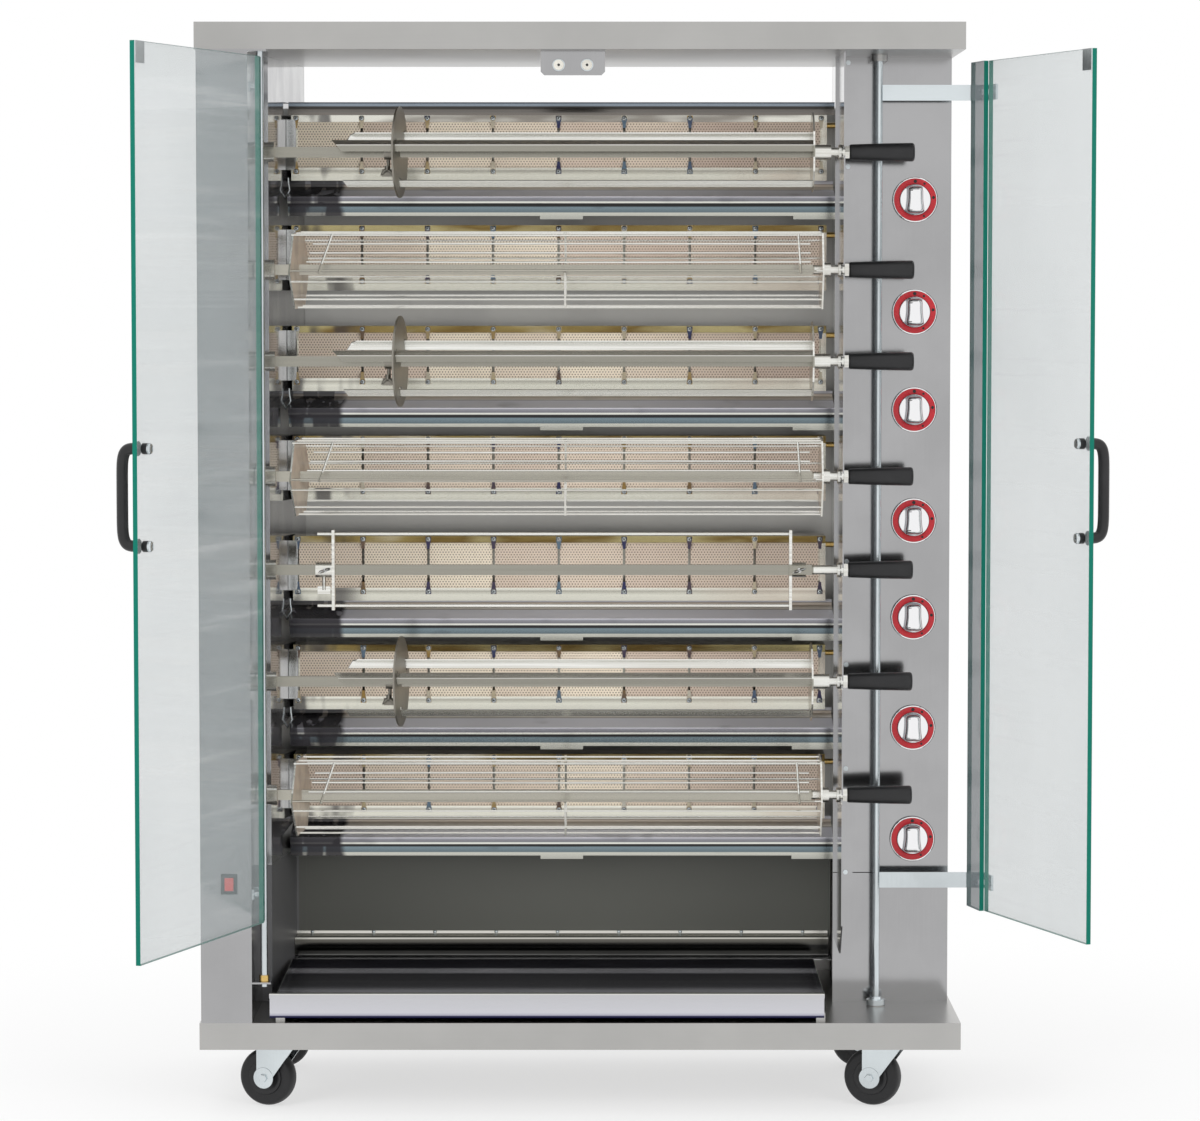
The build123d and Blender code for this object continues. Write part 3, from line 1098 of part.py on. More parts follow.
def mains_switch():
    """The switch's body with its frame, and the rocker on its pivot."""
    frame_x = around(SWITCH_X, SWITCH_WIDTH)
    frame_z = around(SWITCH_Z, SWITCH_HEIGHT)
    body_x = around(SWITCH_X, SWITCH_WIDTH - 2 * SWITCH_FLANGE - 2 * RUNNING_GAP)
    body_z = around(SWITCH_Z, SWITCH_HEIGHT - 2 * SWITCH_FLANGE - 2 * RUNNING_GAP)
    body = block(frame_x, (-SWITCH_FLANGE, 0), frame_z) + block(body_x, (0, SWITCH_BODY_DEPTH), body_z)
    hole_x = around(SWITCH_X, ROCKER_WIDTH + 2 * ROCKER_GAP)
    hole_z = around(SWITCH_Z, ROCKER_HEIGHT + 2 * ROCKER_GAP)
    body -= block(hole_x, (-SWITCH_FLANGE, ROCKER_DEPTH + 2 * ROCKER_GAP), hole_z)
    pivot_y = ROCKER_DEPTH / 2
    pin_x = around(SWITCH_X, ROCKER_WIDTH + 3 * ROCKER_GAP)
    body -= rod_x((pin_x[0] - ROCKER_GAP, pin_x[1] + ROCKER_GAP), pivot_y, SWITCH_Z,
                  ROCKER_PIVOT_RADIUS + RUNNING_GAP)
    node("switch_bezel", body)
    front = -SWITCH_FLANGE - ROCKER_PROUD
    half = ROCKER_HEIGHT / 2
    outline = [(front, SWITCH_Z + half), (front + ROCKER_PROUD / 2, SWITCH_Z), (front, SWITCH_Z - half),
               (pivot_y, SWITCH_Z - half), (ROCKER_DEPTH, SWITCH_Z), (pivot_y, SWITCH_Z + half)]
    rocker = prism_x(outline, around(SWITCH_X, ROCKER_WIDTH))
    node("switch_rocker", rocker + rod_x(pin_x, pivot_y, SWITCH_Z, ROCKER_PIVOT_RADIUS))


def drip_tray():
    """The open tray on its runners, with a rim turned down along the front."""
    x = TRAY_X
    y = (TRAY_FRONT_Y, TRAY_BACK_Y)
    tray = block(x, y, (TRAY_BOTTOM, TRAY_TOP))
    tray -= block((x[0] + SHEET, x[1] - SHEET), (y[0] + SHEET, y[1] - SHEET), (TRAY_BOTTOM + SHEET, TRAY_TOP + SHEET))
    fascia_x = (x[0] - TRAY_FASCIA_OVERHANG, x[1])
    rim = block(fascia_x, (y[0] - SHEET, y[0]), (TRAY_BOTTOM, TRAY_TOP))
    rim += block(fascia_x, (y[0] - TRAY_RIM, y[0]), (TRAY_TOP - SHEET, TRAY_TOP))
    rim += block(fascia_x, (y[0] - TRAY_RIM, y[0] - TRAY_RIM + SHEET), (TRAY_TOP - TRAY_RIM_DROP, TRAY_TOP))
    node("drip_tray", tray + rim)


# Casters, built with the wheel trailing to the left of the swivel
def caster_place(side, y):
    """Where a caster's swivel stands, with its yaw."""
    return Pos(SWIVEL_X[side], y, 0) * Rot(0, 0, CASTER_YAW)


def caster_fork(top):
    """The bent fork with its axle, and a round boss or kingpin up to a height."""
    inner = WHEEL_WIDTH / 2 + FORK_SIDE_GAP
    outer = inner + FORK_SHEET
    crown = (2 * WHEEL_RADIUS + FORK_SIDE_GAP, RACE_BOTTOM)
    reach = CASTER_TRAIL + AXLE_BOSS_RADIUS
    outline = [(-reach, WHEEL_RADIUS - AXLE_BOSS_RADIUS), (-CASTER_TRAIL + AXLE_BOSS_RADIUS / 2,
               WHEEL_RADIUS - AXLE_BOSS_RADIUS), (RACE_RADIUS, crown[0]), (RACE_RADIUS, crown[1]), (-reach, crown[1])]
    fork = prism_y(outline, (-outer, outer))
    fork -= block((-reach - CUT_OVERRUN, RACE_RADIUS + CUT_OVERRUN), (-inner, inner),
                  (WHEEL_RADIUS - AXLE_BOSS_RADIUS - CUT_OVERRUN, crown[0]))
    fork += rod_y(-CASTER_TRAIL, (-outer, outer), WHEEL_RADIUS, WHEEL_BORE_RADIUS)
    return fork + rod_z(0, 0, (crown[1], top), KINGPIN_RADIUS)


def caster_wheel():
    """A tyre and hub with a bore for the axle."""
    half = WHEEL_WIDTH / 2
    section = [(WHEEL_BORE_RADIUS + RUNNING_GAP, -half), (WHEEL_RADIUS - WHEEL_CHAMFER, -half),
               (WHEEL_RADIUS, -half + WHEEL_CHAMFER), (WHEEL_RADIUS, half - WHEEL_CHAMFER),
               (WHEEL_RADIUS - WHEEL_CHAMFER, half), (WHEEL_BORE_RADIUS + RUNNING_GAP, half)]
    face = make_face(Polyline(*[(r, w, 0) for r, w in section], close=True))
    wheel = revolve(face, Axis.Y)
    return Pos(-CASTER_TRAIL, 0, WHEEL_RADIUS) * wheel


def casters():
    """Two swivel casters in front and two fixed ones behind, with their plates and bolts."""
    mounts = []
    plate_z = (CASTER_PLATE_TOP - CASTER_PLATE_THICKNESS, CASTER_PLATE_TOP)
    for side, name in enumerate(("left", "right")):
        for y, end in ((CASTER_FRONT_Y, "front"), (CASTER_REAR_Y, "rear")):
            place = Pos(SWIVEL_X[side], y, 0)
            plate = block(around(0, CASTER_PLATE_LENGTH), around(0, CASTER_PLATE_WIDTH), plate_z)
            bolts = []
            for a in (-1, 1):
                for b in (-1, 1):
                    centre = (a * CASTER_BOLT_SPREAD_SHARE * CASTER_PLATE_LENGTH / 2,
                              b * CASTER_BOLT_SPREAD_SHARE * CASTER_PLATE_WIDTH / 2)
                    corners = [(centre[0] + p, centre[1] + q) for p, q in polygon(CASTER_BOLT_RADIUS, 6)]
                    bolts.append(place * prism_z(corners, (plate_z[0] - CASTER_BOLT_HEIGHT, plate_z[0])))
            wheel = caster_wheel()
            if end == "front":
                plate += rod_z(0, 0, (RACE_BOTTOM + SEAT_GAP, plate_z[0]), RACE_RADIUS)
                plate -= rod_z(0, 0, (RACE_BOTTOM, plate_z[1]), KINGPIN_RADIUS + RUNNING_GAP)
                turned = caster_place(side, y)
                node(f"caster_fork_{name}", turned * caster_fork(plate_z[1]))
            else:
                turned = place
                mounts.append(turned * caster_fork(plate_z[0]))
                plate += rod_z(0, 0, (RACE_BOTTOM, plate_z[0]), RACE_RADIUS)
                plate -= rod_z(0, 0, (RACE_BOTTOM, plate_z[0]), KINGPIN_RADIUS)
            mounts += [place * plate, *bolts]
            node(f"caster_wheel_{end}_{name}", turned * wheel)
    node("caster_mounts", *mounts)


def build():
    """Make every sub-part and move them all to the part's own origin."""
    for make in (base_tray, roof_canopy, left_column, right_column, control_panel, spit_support, chamber_walls,
                 back_covers, burner_trays, ceramic_tiles, deflector_shelves, gas_train, gas_injectors,
                 drive_chain_and_motor, drive_sprocket, spits, left_door, right_door, magnet_catch, knobs,
                 mains_switch, drip_tray, casters):
        make()
    box = Compound(children=[copy for solids in NODES.values() for copy in map(Solid.__copy__, solids)]).bounding_box()
    return (-(box.min.X + box.max.X) / 2, -(box.min.Y + box.max.Y) / 2, -box.min.Z)


ORIGIN_SHIFT = build()

if __name__ == "__main__":
    os.makedirs("parts", exist_ok=True)
    for name, solids in NODES.items():
        moved = [Pos(*ORIGIN_SHIFT) * solid for solid in solids]
        export_step(Compound(children=moved, label=name), f"parts/{name}.step")
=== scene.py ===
"""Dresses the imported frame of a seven-spit gas rotisserie and sets up its studio view.

Places are worked out from the frame. The machine's datum is the middle of the roof's front edge on the
floor: X runs right along the front, Y runs back into the cabinet and Z is up, all in metres.
"""

from __future__ import annotations

import json
import logging
from dataclasses import dataclass, field
from enum import Enum
from typing import Any, Callable, Sequence

import bmesh
import bpy
import numpy as np
from mathutils import Euler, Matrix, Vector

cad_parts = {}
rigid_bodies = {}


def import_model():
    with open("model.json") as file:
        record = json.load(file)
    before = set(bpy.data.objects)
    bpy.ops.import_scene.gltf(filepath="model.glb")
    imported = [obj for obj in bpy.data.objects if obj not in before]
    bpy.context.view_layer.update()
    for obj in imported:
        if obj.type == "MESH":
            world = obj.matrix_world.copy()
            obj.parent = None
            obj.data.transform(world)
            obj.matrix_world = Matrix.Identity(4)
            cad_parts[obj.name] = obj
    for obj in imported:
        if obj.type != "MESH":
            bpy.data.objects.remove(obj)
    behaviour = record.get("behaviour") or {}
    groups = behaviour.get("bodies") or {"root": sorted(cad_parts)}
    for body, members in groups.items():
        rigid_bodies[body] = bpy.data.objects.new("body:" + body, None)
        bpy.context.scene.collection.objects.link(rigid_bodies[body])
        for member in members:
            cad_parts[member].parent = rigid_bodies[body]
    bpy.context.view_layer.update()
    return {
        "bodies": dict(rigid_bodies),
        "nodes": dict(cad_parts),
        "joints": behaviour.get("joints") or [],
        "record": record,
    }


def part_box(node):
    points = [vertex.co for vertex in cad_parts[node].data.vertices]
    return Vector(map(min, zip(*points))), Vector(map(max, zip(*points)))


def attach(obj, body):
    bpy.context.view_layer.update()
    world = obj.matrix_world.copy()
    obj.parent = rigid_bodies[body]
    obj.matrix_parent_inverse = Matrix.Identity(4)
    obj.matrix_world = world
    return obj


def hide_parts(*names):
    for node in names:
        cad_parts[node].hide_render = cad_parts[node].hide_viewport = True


LOG = logging.getLogger("rotisserie")
MM = 0.001
ROW_COUNT = 7


class Expr:
    """A shader socket that takes part in Python arithmetic."""

    def __init__(self, graph: "Graph", socket: Any) -> None:
        """Wraps a socket.

        Args:
            graph: The material's graph that holds the socket.
            socket: The output socket, or a plain number.
        """
        self.graph = graph
        self.socket = socket

    def math(self, operation: str, *others: Any) -> "Expr":
        """Adds a Math node that takes this value first.

        Args:
            operation: The Math node's operation.
            others: The remaining values or expressions.

        Returns:
            The node's value.
        """
        inputs = {number: value for number, value in enumerate((self, *others))}
        return self.graph.add("ShaderNodeMath", {"operation": operation}, inputs)

    def __add__(self, other: Any) -> "Expr":
        """Returns the sum."""
        return self.math("ADD", other)

    __radd__ = __add__

    def __mul__(self, other: Any) -> "Expr":
        """Returns the product."""
        return self.math("MULTIPLY", other)

    __rmul__ = __mul__

    def __sub__(self, other: Any) -> "Expr":
        """Returns the difference."""
        return self.math("SUBTRACT", other)

    def __rsub__(self, other: Any) -> "Expr":
        """Returns the reflected difference."""
        return self.graph.value(other).math("SUBTRACT", self)

    def __truediv__(self, other: Any) -> "Expr":
        """Returns the quotient."""
        return self.math("DIVIDE", other)

    def __pow__(self, other: Any) -> "Expr":
        """Returns the power."""
        return self.math("POWER", other)

    def __lt__(self, other: Any) -> "Expr":
        """Returns 1 where this value is smaller."""
        return self.math("LESS_THAN", other)

    def __gt__(self, other: Any) -> "Expr":
        """Returns 1 where this value is larger."""
        return self.math("GREATER_THAN", other)

    def __abs__(self) -> "Expr":
        """Returns the size without its sign."""
        return self.math("ABSOLUTE")

    def fraction(self) -> "Expr":
        """Returns the part after the point."""
        return self.math("FRACT")

    def clamp(self) -> "Expr":
        """Returns the value held between 0 and 1."""
        return self.math("MAXIMUM", 0.0).math("MINIMUM", 1.0)

    def smooth(self, low: float, high: float) -> "Expr":
        """Returns a smooth step from 0 at low to 1 at high."""
        return self.graph.add("ShaderNodeMapRange", {"interpolation_type": "SMOOTHSTEP"},
                              {0: self, 1: low, 2: high, 3: 0.0, 4: 1.0})


class Graph:
    """One material's node graph."""

    def __init__(self, name: str) -> None:
        """Starts an empty material.

        Args:
            name: The material's name.
        """
        self.material = bpy.data.materials.new(name)
        self.material.use_nodes = True
        self.tree = self.material.node_tree
        self.tree.nodes.clear()

    def add(self, kind: str, settings: dict[str, Any], inputs: dict[Any, Any], output: Any = 0) -> Expr:
        """Adds a node.

        Args:
            kind: The node's type.
            settings: Its properties, set before its sockets.
            inputs: Values or expressions by socket index or name.
            output: The wanted output's index or name.

        Returns:
            The output as an expression.
        """
        node = self.tree.nodes.new(kind)
        for name, value in settings.items():
            if name == "stops":
                self._set_stops(node, value)
            else:
                setattr(node, name, value)
        for name, value in inputs.items():
            if isinstance(value, Expr) and not isinstance(value.socket, (int, float)):
                self.tree.links.new(value.socket, node.inputs[name])
            else:
                node.inputs[name].default_value = value.socket if isinstance(value, Expr) else value
        return Expr(self, node.outputs[output])

    @staticmethod
    def _set_stops(node: Any, stops: Sequence[tuple[float, tuple[float, float, float]]]) -> None:
        """Fills a colour ramp.

        Args:
            node: The ramp's node.
            stops: Each stop's place and colour.
        """
        elements = node.color_ramp.elements
        while len(elements) < len(stops):
            elements.new(0.5)
        for element, (place, colour) in zip(elements, stops):
            element.position = place
            element.color = (*colour, 1.0)

    def value(self, number: Any) -> Expr:
        """Returns a number as an expression."""
        return number if isinstance(number, Expr) else Expr(self, float(number))

    def place(self) -> Expr:
        """Returns the point in object coordinates."""
        return self.add("ShaderNodeTexCoord", {}, {}, "Object")

    def axes(self, vector: Expr) -> tuple[Expr, Expr, Expr]:
        """Returns a vector's three parts."""
        split = self.add("ShaderNodeSeparateXYZ", {}, {0: vector}).socket.node
        return tuple(Expr(self, socket) for socket in split.outputs)

    def vector(self, x: Any, y: Any, z: Any) -> Expr:
        """Returns three values as a vector."""
        return self.add("ShaderNodeCombineXYZ", {}, {0: x, 1: y, 2: z})

    def local(self, height: Expr, bases: Sequence[float]) -> Expr:
        """Returns the height above the nearest base below: each base that is passed takes off its own step.

        Args:
            height: The height over the floor.
            bases: The bases' heights.

        Returns:
            The height above the base, or above the lowest base where none is below.
        """
        ordered = sorted(bases)
        total = height - ordered[0]
        for lower, upper in zip(ordered, ordered[1:]):
            total = total - (height > upper) * (upper - lower)
        return total

    def ramp(self, factor: Any, stops: Sequence[tuple[float, tuple[float, float, float]]]) -> Expr:
        """Returns a colour from a ramp's stops."""
        return self.add("ShaderNodeValToRGB", {"stops": stops}, {0: factor})

    def noise(self, vector: Expr, scale: float, detail: float = 3.0, rough: float = 0.5) -> Expr:
        """Returns noise between 0 and 1 with its mean near a half."""
        return self.add("ShaderNodeTexNoise", {}, {"Vector": vector, "Scale": scale, "Detail": detail,
                                                   "Roughness": rough}, 0)

    def mix(self, factor: Any, first: Any, second: Any) -> Expr:
        """Returns a colour between two others."""
        colours = [(*c, 1.0) if isinstance(c, tuple) else c for c in (first, second)]
        return self.add("ShaderNodeMix", {"data_type": "RGBA"}, {0: factor, 6: colours[0], 7: colours[1]}, 2)

    def bump(self, height: Expr, strength: float, distance: float) -> Expr:
        """Returns a normal bent by a height."""
        return self.add("ShaderNodeBump", {}, {"Strength": strength, "Distance": distance, "Height": height})

    def surface(self, **inputs: Any) -> bpy.types.Material:
        """Ends the material with a Principled shader.

        Args:
            inputs: Its sockets by name, with spaces written as underscores.

        Returns:
            The material.
        """
        named = {name.replace("_", " "): value for name, value in inputs.items()}
        return self.finish(self.add("ShaderNodeBsdfPrincipled", {}, named))

    def finish(self, shader: Expr) -> bpy.types.Material:
        """Links a shader to the material's output and returns the material."""
        output = self.tree.nodes.new("ShaderNodeOutputMaterial")
        self.tree.links.new(shader.socket, output.inputs[0])
        return self.material


Colour = tuple[float, float, float]


@dataclass(frozen=True)
class Steel:
    """Stainless or plated sheet: a metal with drawn grain, faint stains and a slight waviness."""

    name: str
    colour: Colour
    roughness: float = 0.25
    grain_axis: int = 0
    grain_depth: float = 0.04
    stain: float = 0.06
    wave: float = 0.0
    wave_scale: float = 3.0

    def make(self) -> bpy.types.Material:
        """Builds the material: noise stretched along the grain drives roughness, colour and bump."""
        graph = Graph(self.name)
        x, y, z = graph.axes(graph.place())
        stretch = [1.0, 1.0, 1.0]
        stretch[self.grain_axis] = 0.012
        drawn = graph.vector(x * stretch[0], y * stretch[1], z * stretch[2])
        grain = graph.noise(drawn, 900.0, 2.0, 0.6)
        cloud = graph.noise(graph.place(), 5.0, 4.0, 0.55)
        dark = tuple(c * (1.0 - 2.2 * self.stain) for c in self.colour)
        pale = tuple(min(1.0, c * (1.0 + self.stain)) for c in self.colour)
        colour = graph.mix((cloud * 0.88 + grain * 0.12).smooth(0.3, 0.7), dark, pale)
        rough = (grain - 0.5) * 0.05 + (cloud - 0.5) * 0.06 + self.roughness
        height = grain * self.grain_depth
        if self.wave:
            height = height + graph.noise(graph.place(), self.wave_scale, 1.0) * self.wave
        normal = graph.bump(height, 0.06, 0.0005)
        return graph.surface(Base_Color=colour, Metallic=1.0, Roughness=rough.clamp(), Normal=normal)


@dataclass(frozen=True)
class Moulded:
    """Moulded plastic, rubber or paint with a fine pebble and slight gloss changes."""

    name: str
    colour: Colour
    roughness: float = 0.45
    pebble: float = 0.15
    pebble_scale: float = 900.0
    coat: float = 0.0

    def make(self) -> bpy.types.Material:
        """Builds the material: fine noise for the pebble and broad noise for handling marks."""
        graph = Graph(self.name)
        fine = graph.noise(graph.place(), self.pebble_scale, 2.0)
        broad = graph.noise(graph.place(), 25.0, 3.0)
        worn = tuple(min(1.0, c * 1.25 + 0.004) for c in self.colour)
        colour = graph.mix(broad.smooth(0.45, 0.8), self.colour, worn)
        rough = (broad - 0.5) * 0.2 + self.roughness
        return graph.surface(Base_Color=colour, Roughness=rough.clamp(), Coat_Weight=self.coat,
                             Normal=graph.bump(fine, self.pebble, 0.0003))


@dataclass(frozen=True)
class Ceramic:
    """Burner tiles with staggered rows of small holes, each tile with its own tint."""

    name: str
    first_x: float
    tile_pitch: float
    rows: Sequence[float]
    hole_pitch: float = 5.2 * MM
    row_pitch: float = 4.4 * MM
    hole_radius: float = 1.15 * MM

    def make(self) -> bpy.types.Material:
        """Builds the material: the distance to the nearest hole of a staggered grid sinks it and fills it with painted
        shade.
        """
        graph = Graph(self.name)
        x, y, z = graph.axes(graph.place())
        row = graph.local(z, self.rows) / self.row_pitch
        shift = (row.math("FLOOR") * 0.5).fraction()
        across = ((x / self.hole_pitch + shift).fraction() - 0.5) * self.hole_pitch
        up = (row.fraction() - 0.5) * self.row_pitch
        distance = (across * across + up * up) ** 0.5
        hole = 1.0 - distance.smooth(self.hole_radius * 0.7, self.hole_radius * 1.25)
        tile = ((x - self.first_x) / self.tile_pitch).math("FLOOR")
        storey = graph.value(0.0)
        for base in sorted(self.rows)[1:]:
            storey = storey + (z > base)
        seed = graph.vector(tile, storey * 1.7, 0.5)
        tint = graph.add("ShaderNodeTexWhiteNoise", {"noise_dimensions": "3D"}, {0: seed}, 0)
        right = tile.smooth(3.5, 6.5) * 0.75
        warm = graph.mix(tint.smooth(0.2, 1.0) * 0.7 * (1.0 - right) + right * 0.9, (0.98, 0.87, 0.71), (0.66, 0.52, 0.44))
        soot = graph.noise(graph.place(), 14.0, 4.0).smooth(0.5, 0.8) * 0.25
        worn = graph.mix(soot, warm, (0.60, 0.48, 0.38))
        # the holes' dark brown is painted shade inside them
        colour = graph.mix(hole * 0.9, worn, (0.16, 0.095, 0.055))
        normal = graph.bump(1.0 - hole, 0.6, 0.0008)
        return graph.surface(Base_Color=colour, Roughness=0.9, Normal=normal)


@dataclass(frozen=True)
class GlassSheets:
    """Where a door's glass lies: the pane's normal and its two faces' distances, and the strip's normal."""

    pane: Colour
    near: float
    far: float
    strip: Colour


@dataclass(frozen=True)
class Glass:
    """Clear tempered glass with a slight haze, whose cut edges look deep green."""

    name: str
    sheets: GlassSheets
    film: Colour = (0.42, 0.47, 0.48)
    strip_film: Colour = (0.16, 0.185, 0.20)
    edge: Colour = (0.001, 0.13, 0.092)
    film_alpha: float = 0.27
    strip_alpha: float = 0.74

    def make(self) -> bpy.types.Material:
        """Builds the material: a point is on the pane between its two faces' distances, else on the strip."""
        graph = Graph(self.name)
        place = graph.place()
        normal = graph.add("ShaderNodeTexCoord", {}, {}, "Normal")
        x, y, z = graph.axes(place)

        def dot(vector: Expr, direction: Colour) -> Expr:
            """Returns a vector's part along a direction."""
            return graph.add("ShaderNodeVectorMath", {"operation": "DOT_PRODUCT"}, {0: vector, 1: direction}, "Value")

        distance = dot(place, self.sheets.pane)
        on_pane = (distance > self.sheets.near - 0.0004) * (distance < self.sheets.far + 0.0004)
        pane = abs(dot(normal, self.sheets.pane)) * on_pane
        strip = abs(dot(normal, self.sheets.strip)) * (1.0 - on_pane)
        clear = (pane + strip).smooth(0.85, 0.95)
        wiped = graph.noise(graph.vector(x * 0.4, y * 0.4, z * 14.0), 3.0, 4.0, 0.6).smooth(0.5, 0.85)
        haze = graph.noise(place, 2.0, 3.0).smooth(0.35, 0.75)
        film = graph.mix(on_pane, self.strip_film, self.film)
        colour = graph.mix(clear, self.edge, graph.mix(wiped * 0.5 * on_pane, film, (0.85, 0.86, 0.86)))
        film_alpha = on_pane * (self.film_alpha - self.strip_alpha) + self.strip_alpha
        alpha = 1.0 - clear * (1.0 - film_alpha - (wiped * 0.10 + haze * 0.05) * on_pane)
        return graph.surface(Base_Color=colour, Roughness=0.28 - clear * 0.25, Alpha=alpha.clamp(), IOR=1.45,
                             Specular_IOR_Level=0.2)


@dataclass(frozen=True)
class TrayFinish:
    """Bright burner trays whose rails carry painted shade and highlight bands; the top row's upper rail is gold and
    brown, a heat tint with painted dark reflection.
    """

    name: str
    rows: Sequence[tuple[float, float]]

    def make(self) -> bpy.types.Material:
        """Builds the material: the height above each row's tiles picks cream, gold, painted highlight or painted shade
        from a ramp.
        """
        graph = Graph(self.name)
        x, y, z = graph.axes(graph.place())
        height = self.rows[0][1] - self.rows[0][0]
        local = graph.local(z, [low - 0.030 for low, high in self.rows])
        streak = graph.noise(graph.vector(x * 0.6, y * 3.0, z * 40.0), 6.0, 3.0, 0.6)
        cloud = graph.noise(graph.vector(x * 2.0, y, z * 9.0), 1.6, 3.0)
        # rail: a painted shade line at each lower rail's foot, then cream with a painted shade band and a painted
        # highlight line below the tiles
        rail = graph.ramp((local - 0.002) / 0.028, (
            (0.0, (0.10, 0.10, 0.09)), (0.06, (0.60, 0.59, 0.52)), (0.55, (0.72, 0.71, 0.62)),
            (0.80, (0.45, 0.44, 0.38)), (0.92, (0.80, 0.79, 0.70))))
        # tint: the top row's gold and brown, a heat tint whose dark brown is painted reflection
        tint = graph.ramp(cloud, ((0.30, (0.66, 0.62, 0.50)), (0.43, (0.30, 0.23, 0.09)), (0.52, (0.18, 0.12, 0.04)),
                                  (0.62, (0.42, 0.36, 0.18))))
        upper = local > 0.030 + height - 0.001
        first = z > self.rows[-1][1] - 0.002
        top = graph.mix(first, tint, graph.mix(cloud.smooth(0.42, 0.55), (0.28, 0.26, 0.23), (0.74, 0.73, 0.66)))
        # left_dark_patches: darker patches towards the trays' left end
        left_dark_patches = graph.noise(graph.vector(x * 1.0, y, z * 0.3), 22.0, 2.0).smooth(0.45, 0.6)
        left = (1.0 - (x + 0.50).smooth(0.0, 0.06)) * left_dark_patches
        right = x.smooth(0.02, 0.33) * cloud.smooth(0.35, 0.6) * 0.5
        steel = graph.mix(right, rail, (0.52, 0.42, 0.34))
        colour = graph.mix(left * 0.8, graph.mix(upper, steel, top), (0.05, 0.045, 0.05))
        return graph.surface(Base_Color=colour, Metallic=1.0, Roughness=streak * 0.12 + 0.14,
                             Normal=graph.bump(streak, 0.1, 0.001))


@dataclass(frozen=True)
class HeatTint:
    """Small steel clips, each with its own heat colour from straw through purple to blue."""

    name: str
    pitch: float

    def make(self) -> bpy.types.Material:
        """Builds the material: white noise on each clip's cell picks its place on a ramp of heat colours."""
        graph = Graph(self.name)
        x, y, z = graph.axes(graph.place())
        cell = graph.vector((x / self.pitch + 0.27).math("FLOOR"), (z * 7.0).math("FLOOR"), 0.3)
        pick = graph.add("ShaderNodeTexWhiteNoise", {"noise_dimensions": "3D"}, {0: cell}, 0)
        fade = graph.noise(graph.place(), 40.0, 2.0)
        tint = graph.ramp((pick * 0.85 + fade * 0.25).clamp(), (
            (0.0, (0.62, 0.60, 0.55)), (0.35, (0.50, 0.42, 0.28)), (0.52, (0.34, 0.22, 0.07)),
            (0.66, (0.12, 0.09, 0.09)), (0.80, (0.05, 0.05, 0.12)), (0.95, (0.14, 0.20, 0.26))))
        return graph.surface(Base_Color=tint, Metallic=0.9, Roughness=fade * 0.2 + 0.22)


@dataclass(frozen=True)
class Chrome:
    """Bright plating on knobs and nuts, with painted shade on faces that stand square to the front."""

    name: str
    bright: Colour = (0.88, 0.88, 0.89)
    # dark: painted shade for the faces that turn sideways
    dark: Colour = (0.16, 0.16, 0.18)

    def make(self) -> bpy.types.Material:
        """Builds the material: the share of a face's normal that points to the front mixes the painted side shade and
        bright.
        """
        graph = Graph(self.name)
        front = abs(graph.axes(graph.add("ShaderNodeTexCoord", {}, {}, "Normal"))[1])
        smear = graph.noise(graph.place(), 60.0, 2.0)
        colour = graph.mix(front.smooth(0.25, 0.85), self.dark, self.bright)
        return graph.surface(Base_Color=colour, Metallic=1.0, Roughness=smear * 0.06 + 0.05)


@dataclass(frozen=True)
class ShelfFinish:
    """Deflector shelves: polished steel that carries long bright and dark bands of painted reflection, with painted
    shade at the left end.
    """

    name: str
    feet: Sequence[float]
    reach: float = 0.075

    def make(self) -> bpy.types.Material:
        """Builds the material: the height above a shelf's foot picks its painted reflection band, with streaks along
        the shelf, and the left end takes painted shade.
        """
        graph = Graph(self.name)
        x, y, z = graph.axes(graph.place())
        streak = graph.noise(graph.vector(x * 0.5, y * 2.0, z * 30.0), 7.0, 3.0, 0.6)
        local = graph.local(z, self.feet) / self.reach + (streak - 0.5) * 0.012
        # reflection_band: painted bright and dark reflection bands up each shelf
        reflection_band = graph.ramp(local, (
            (0.00, (0.42, 0.42, 0.38)), (0.15, (0.56, 0.56, 0.50)), (0.17, (0.14, 0.18, 0.20)),
            (0.28, (0.20, 0.26, 0.29)), (0.31, (0.03, 0.03, 0.03)), (0.37, (0.05, 0.05, 0.05)),
            (0.385, (0.78, 0.78, 0.72)), (0.41, (0.70, 0.70, 0.65)), (0.43, (0.20, 0.20, 0.22)),
            (0.50, (0.30, 0.30, 0.33)), (0.535, (0.72, 0.72, 0.78)), (0.69, (0.80, 0.80, 0.86)),
            (0.70, (0.30, 0.27, 0.23)), (0.715, (0.90, 0.84, 0.74)), (0.83, (0.62, 0.52, 0.43)),
            (0.845, (0.26, 0.24, 0.22)), (0.86, (0.74, 0.74, 0.80)), (0.92, (0.66, 0.66, 0.72))))
        patch = graph.noise(graph.vector(x * 1.2, y, z * 4.0), 9.0, 2.0)
        stripes = graph.noise(graph.vector(x * 3.0, y, z * 0.5), 14.0, 2.0).smooth(0.55, 0.62) * 0.35
        # left: painted shade at the shelves' left end, broken by stripes; the patch term adds random darker patches
        left = 1.0 - (x + 0.498 + (patch - 0.5) * 0.02).smooth(0.0, 0.012)
        dark = (left * (0.95 - stripes) + patch.smooth(0.62, 0.75) * 0.25).clamp()
        colour = graph.mix(dark, reflection_band, (0.035, 0.033, 0.037))
        return graph.surface(Base_Color=colour, Metallic=(local > 0.53) * -0.80 + 0.95,
                             Roughness=streak * 0.08 + 0.12, Normal=graph.bump(patch, 0.15, 0.002))


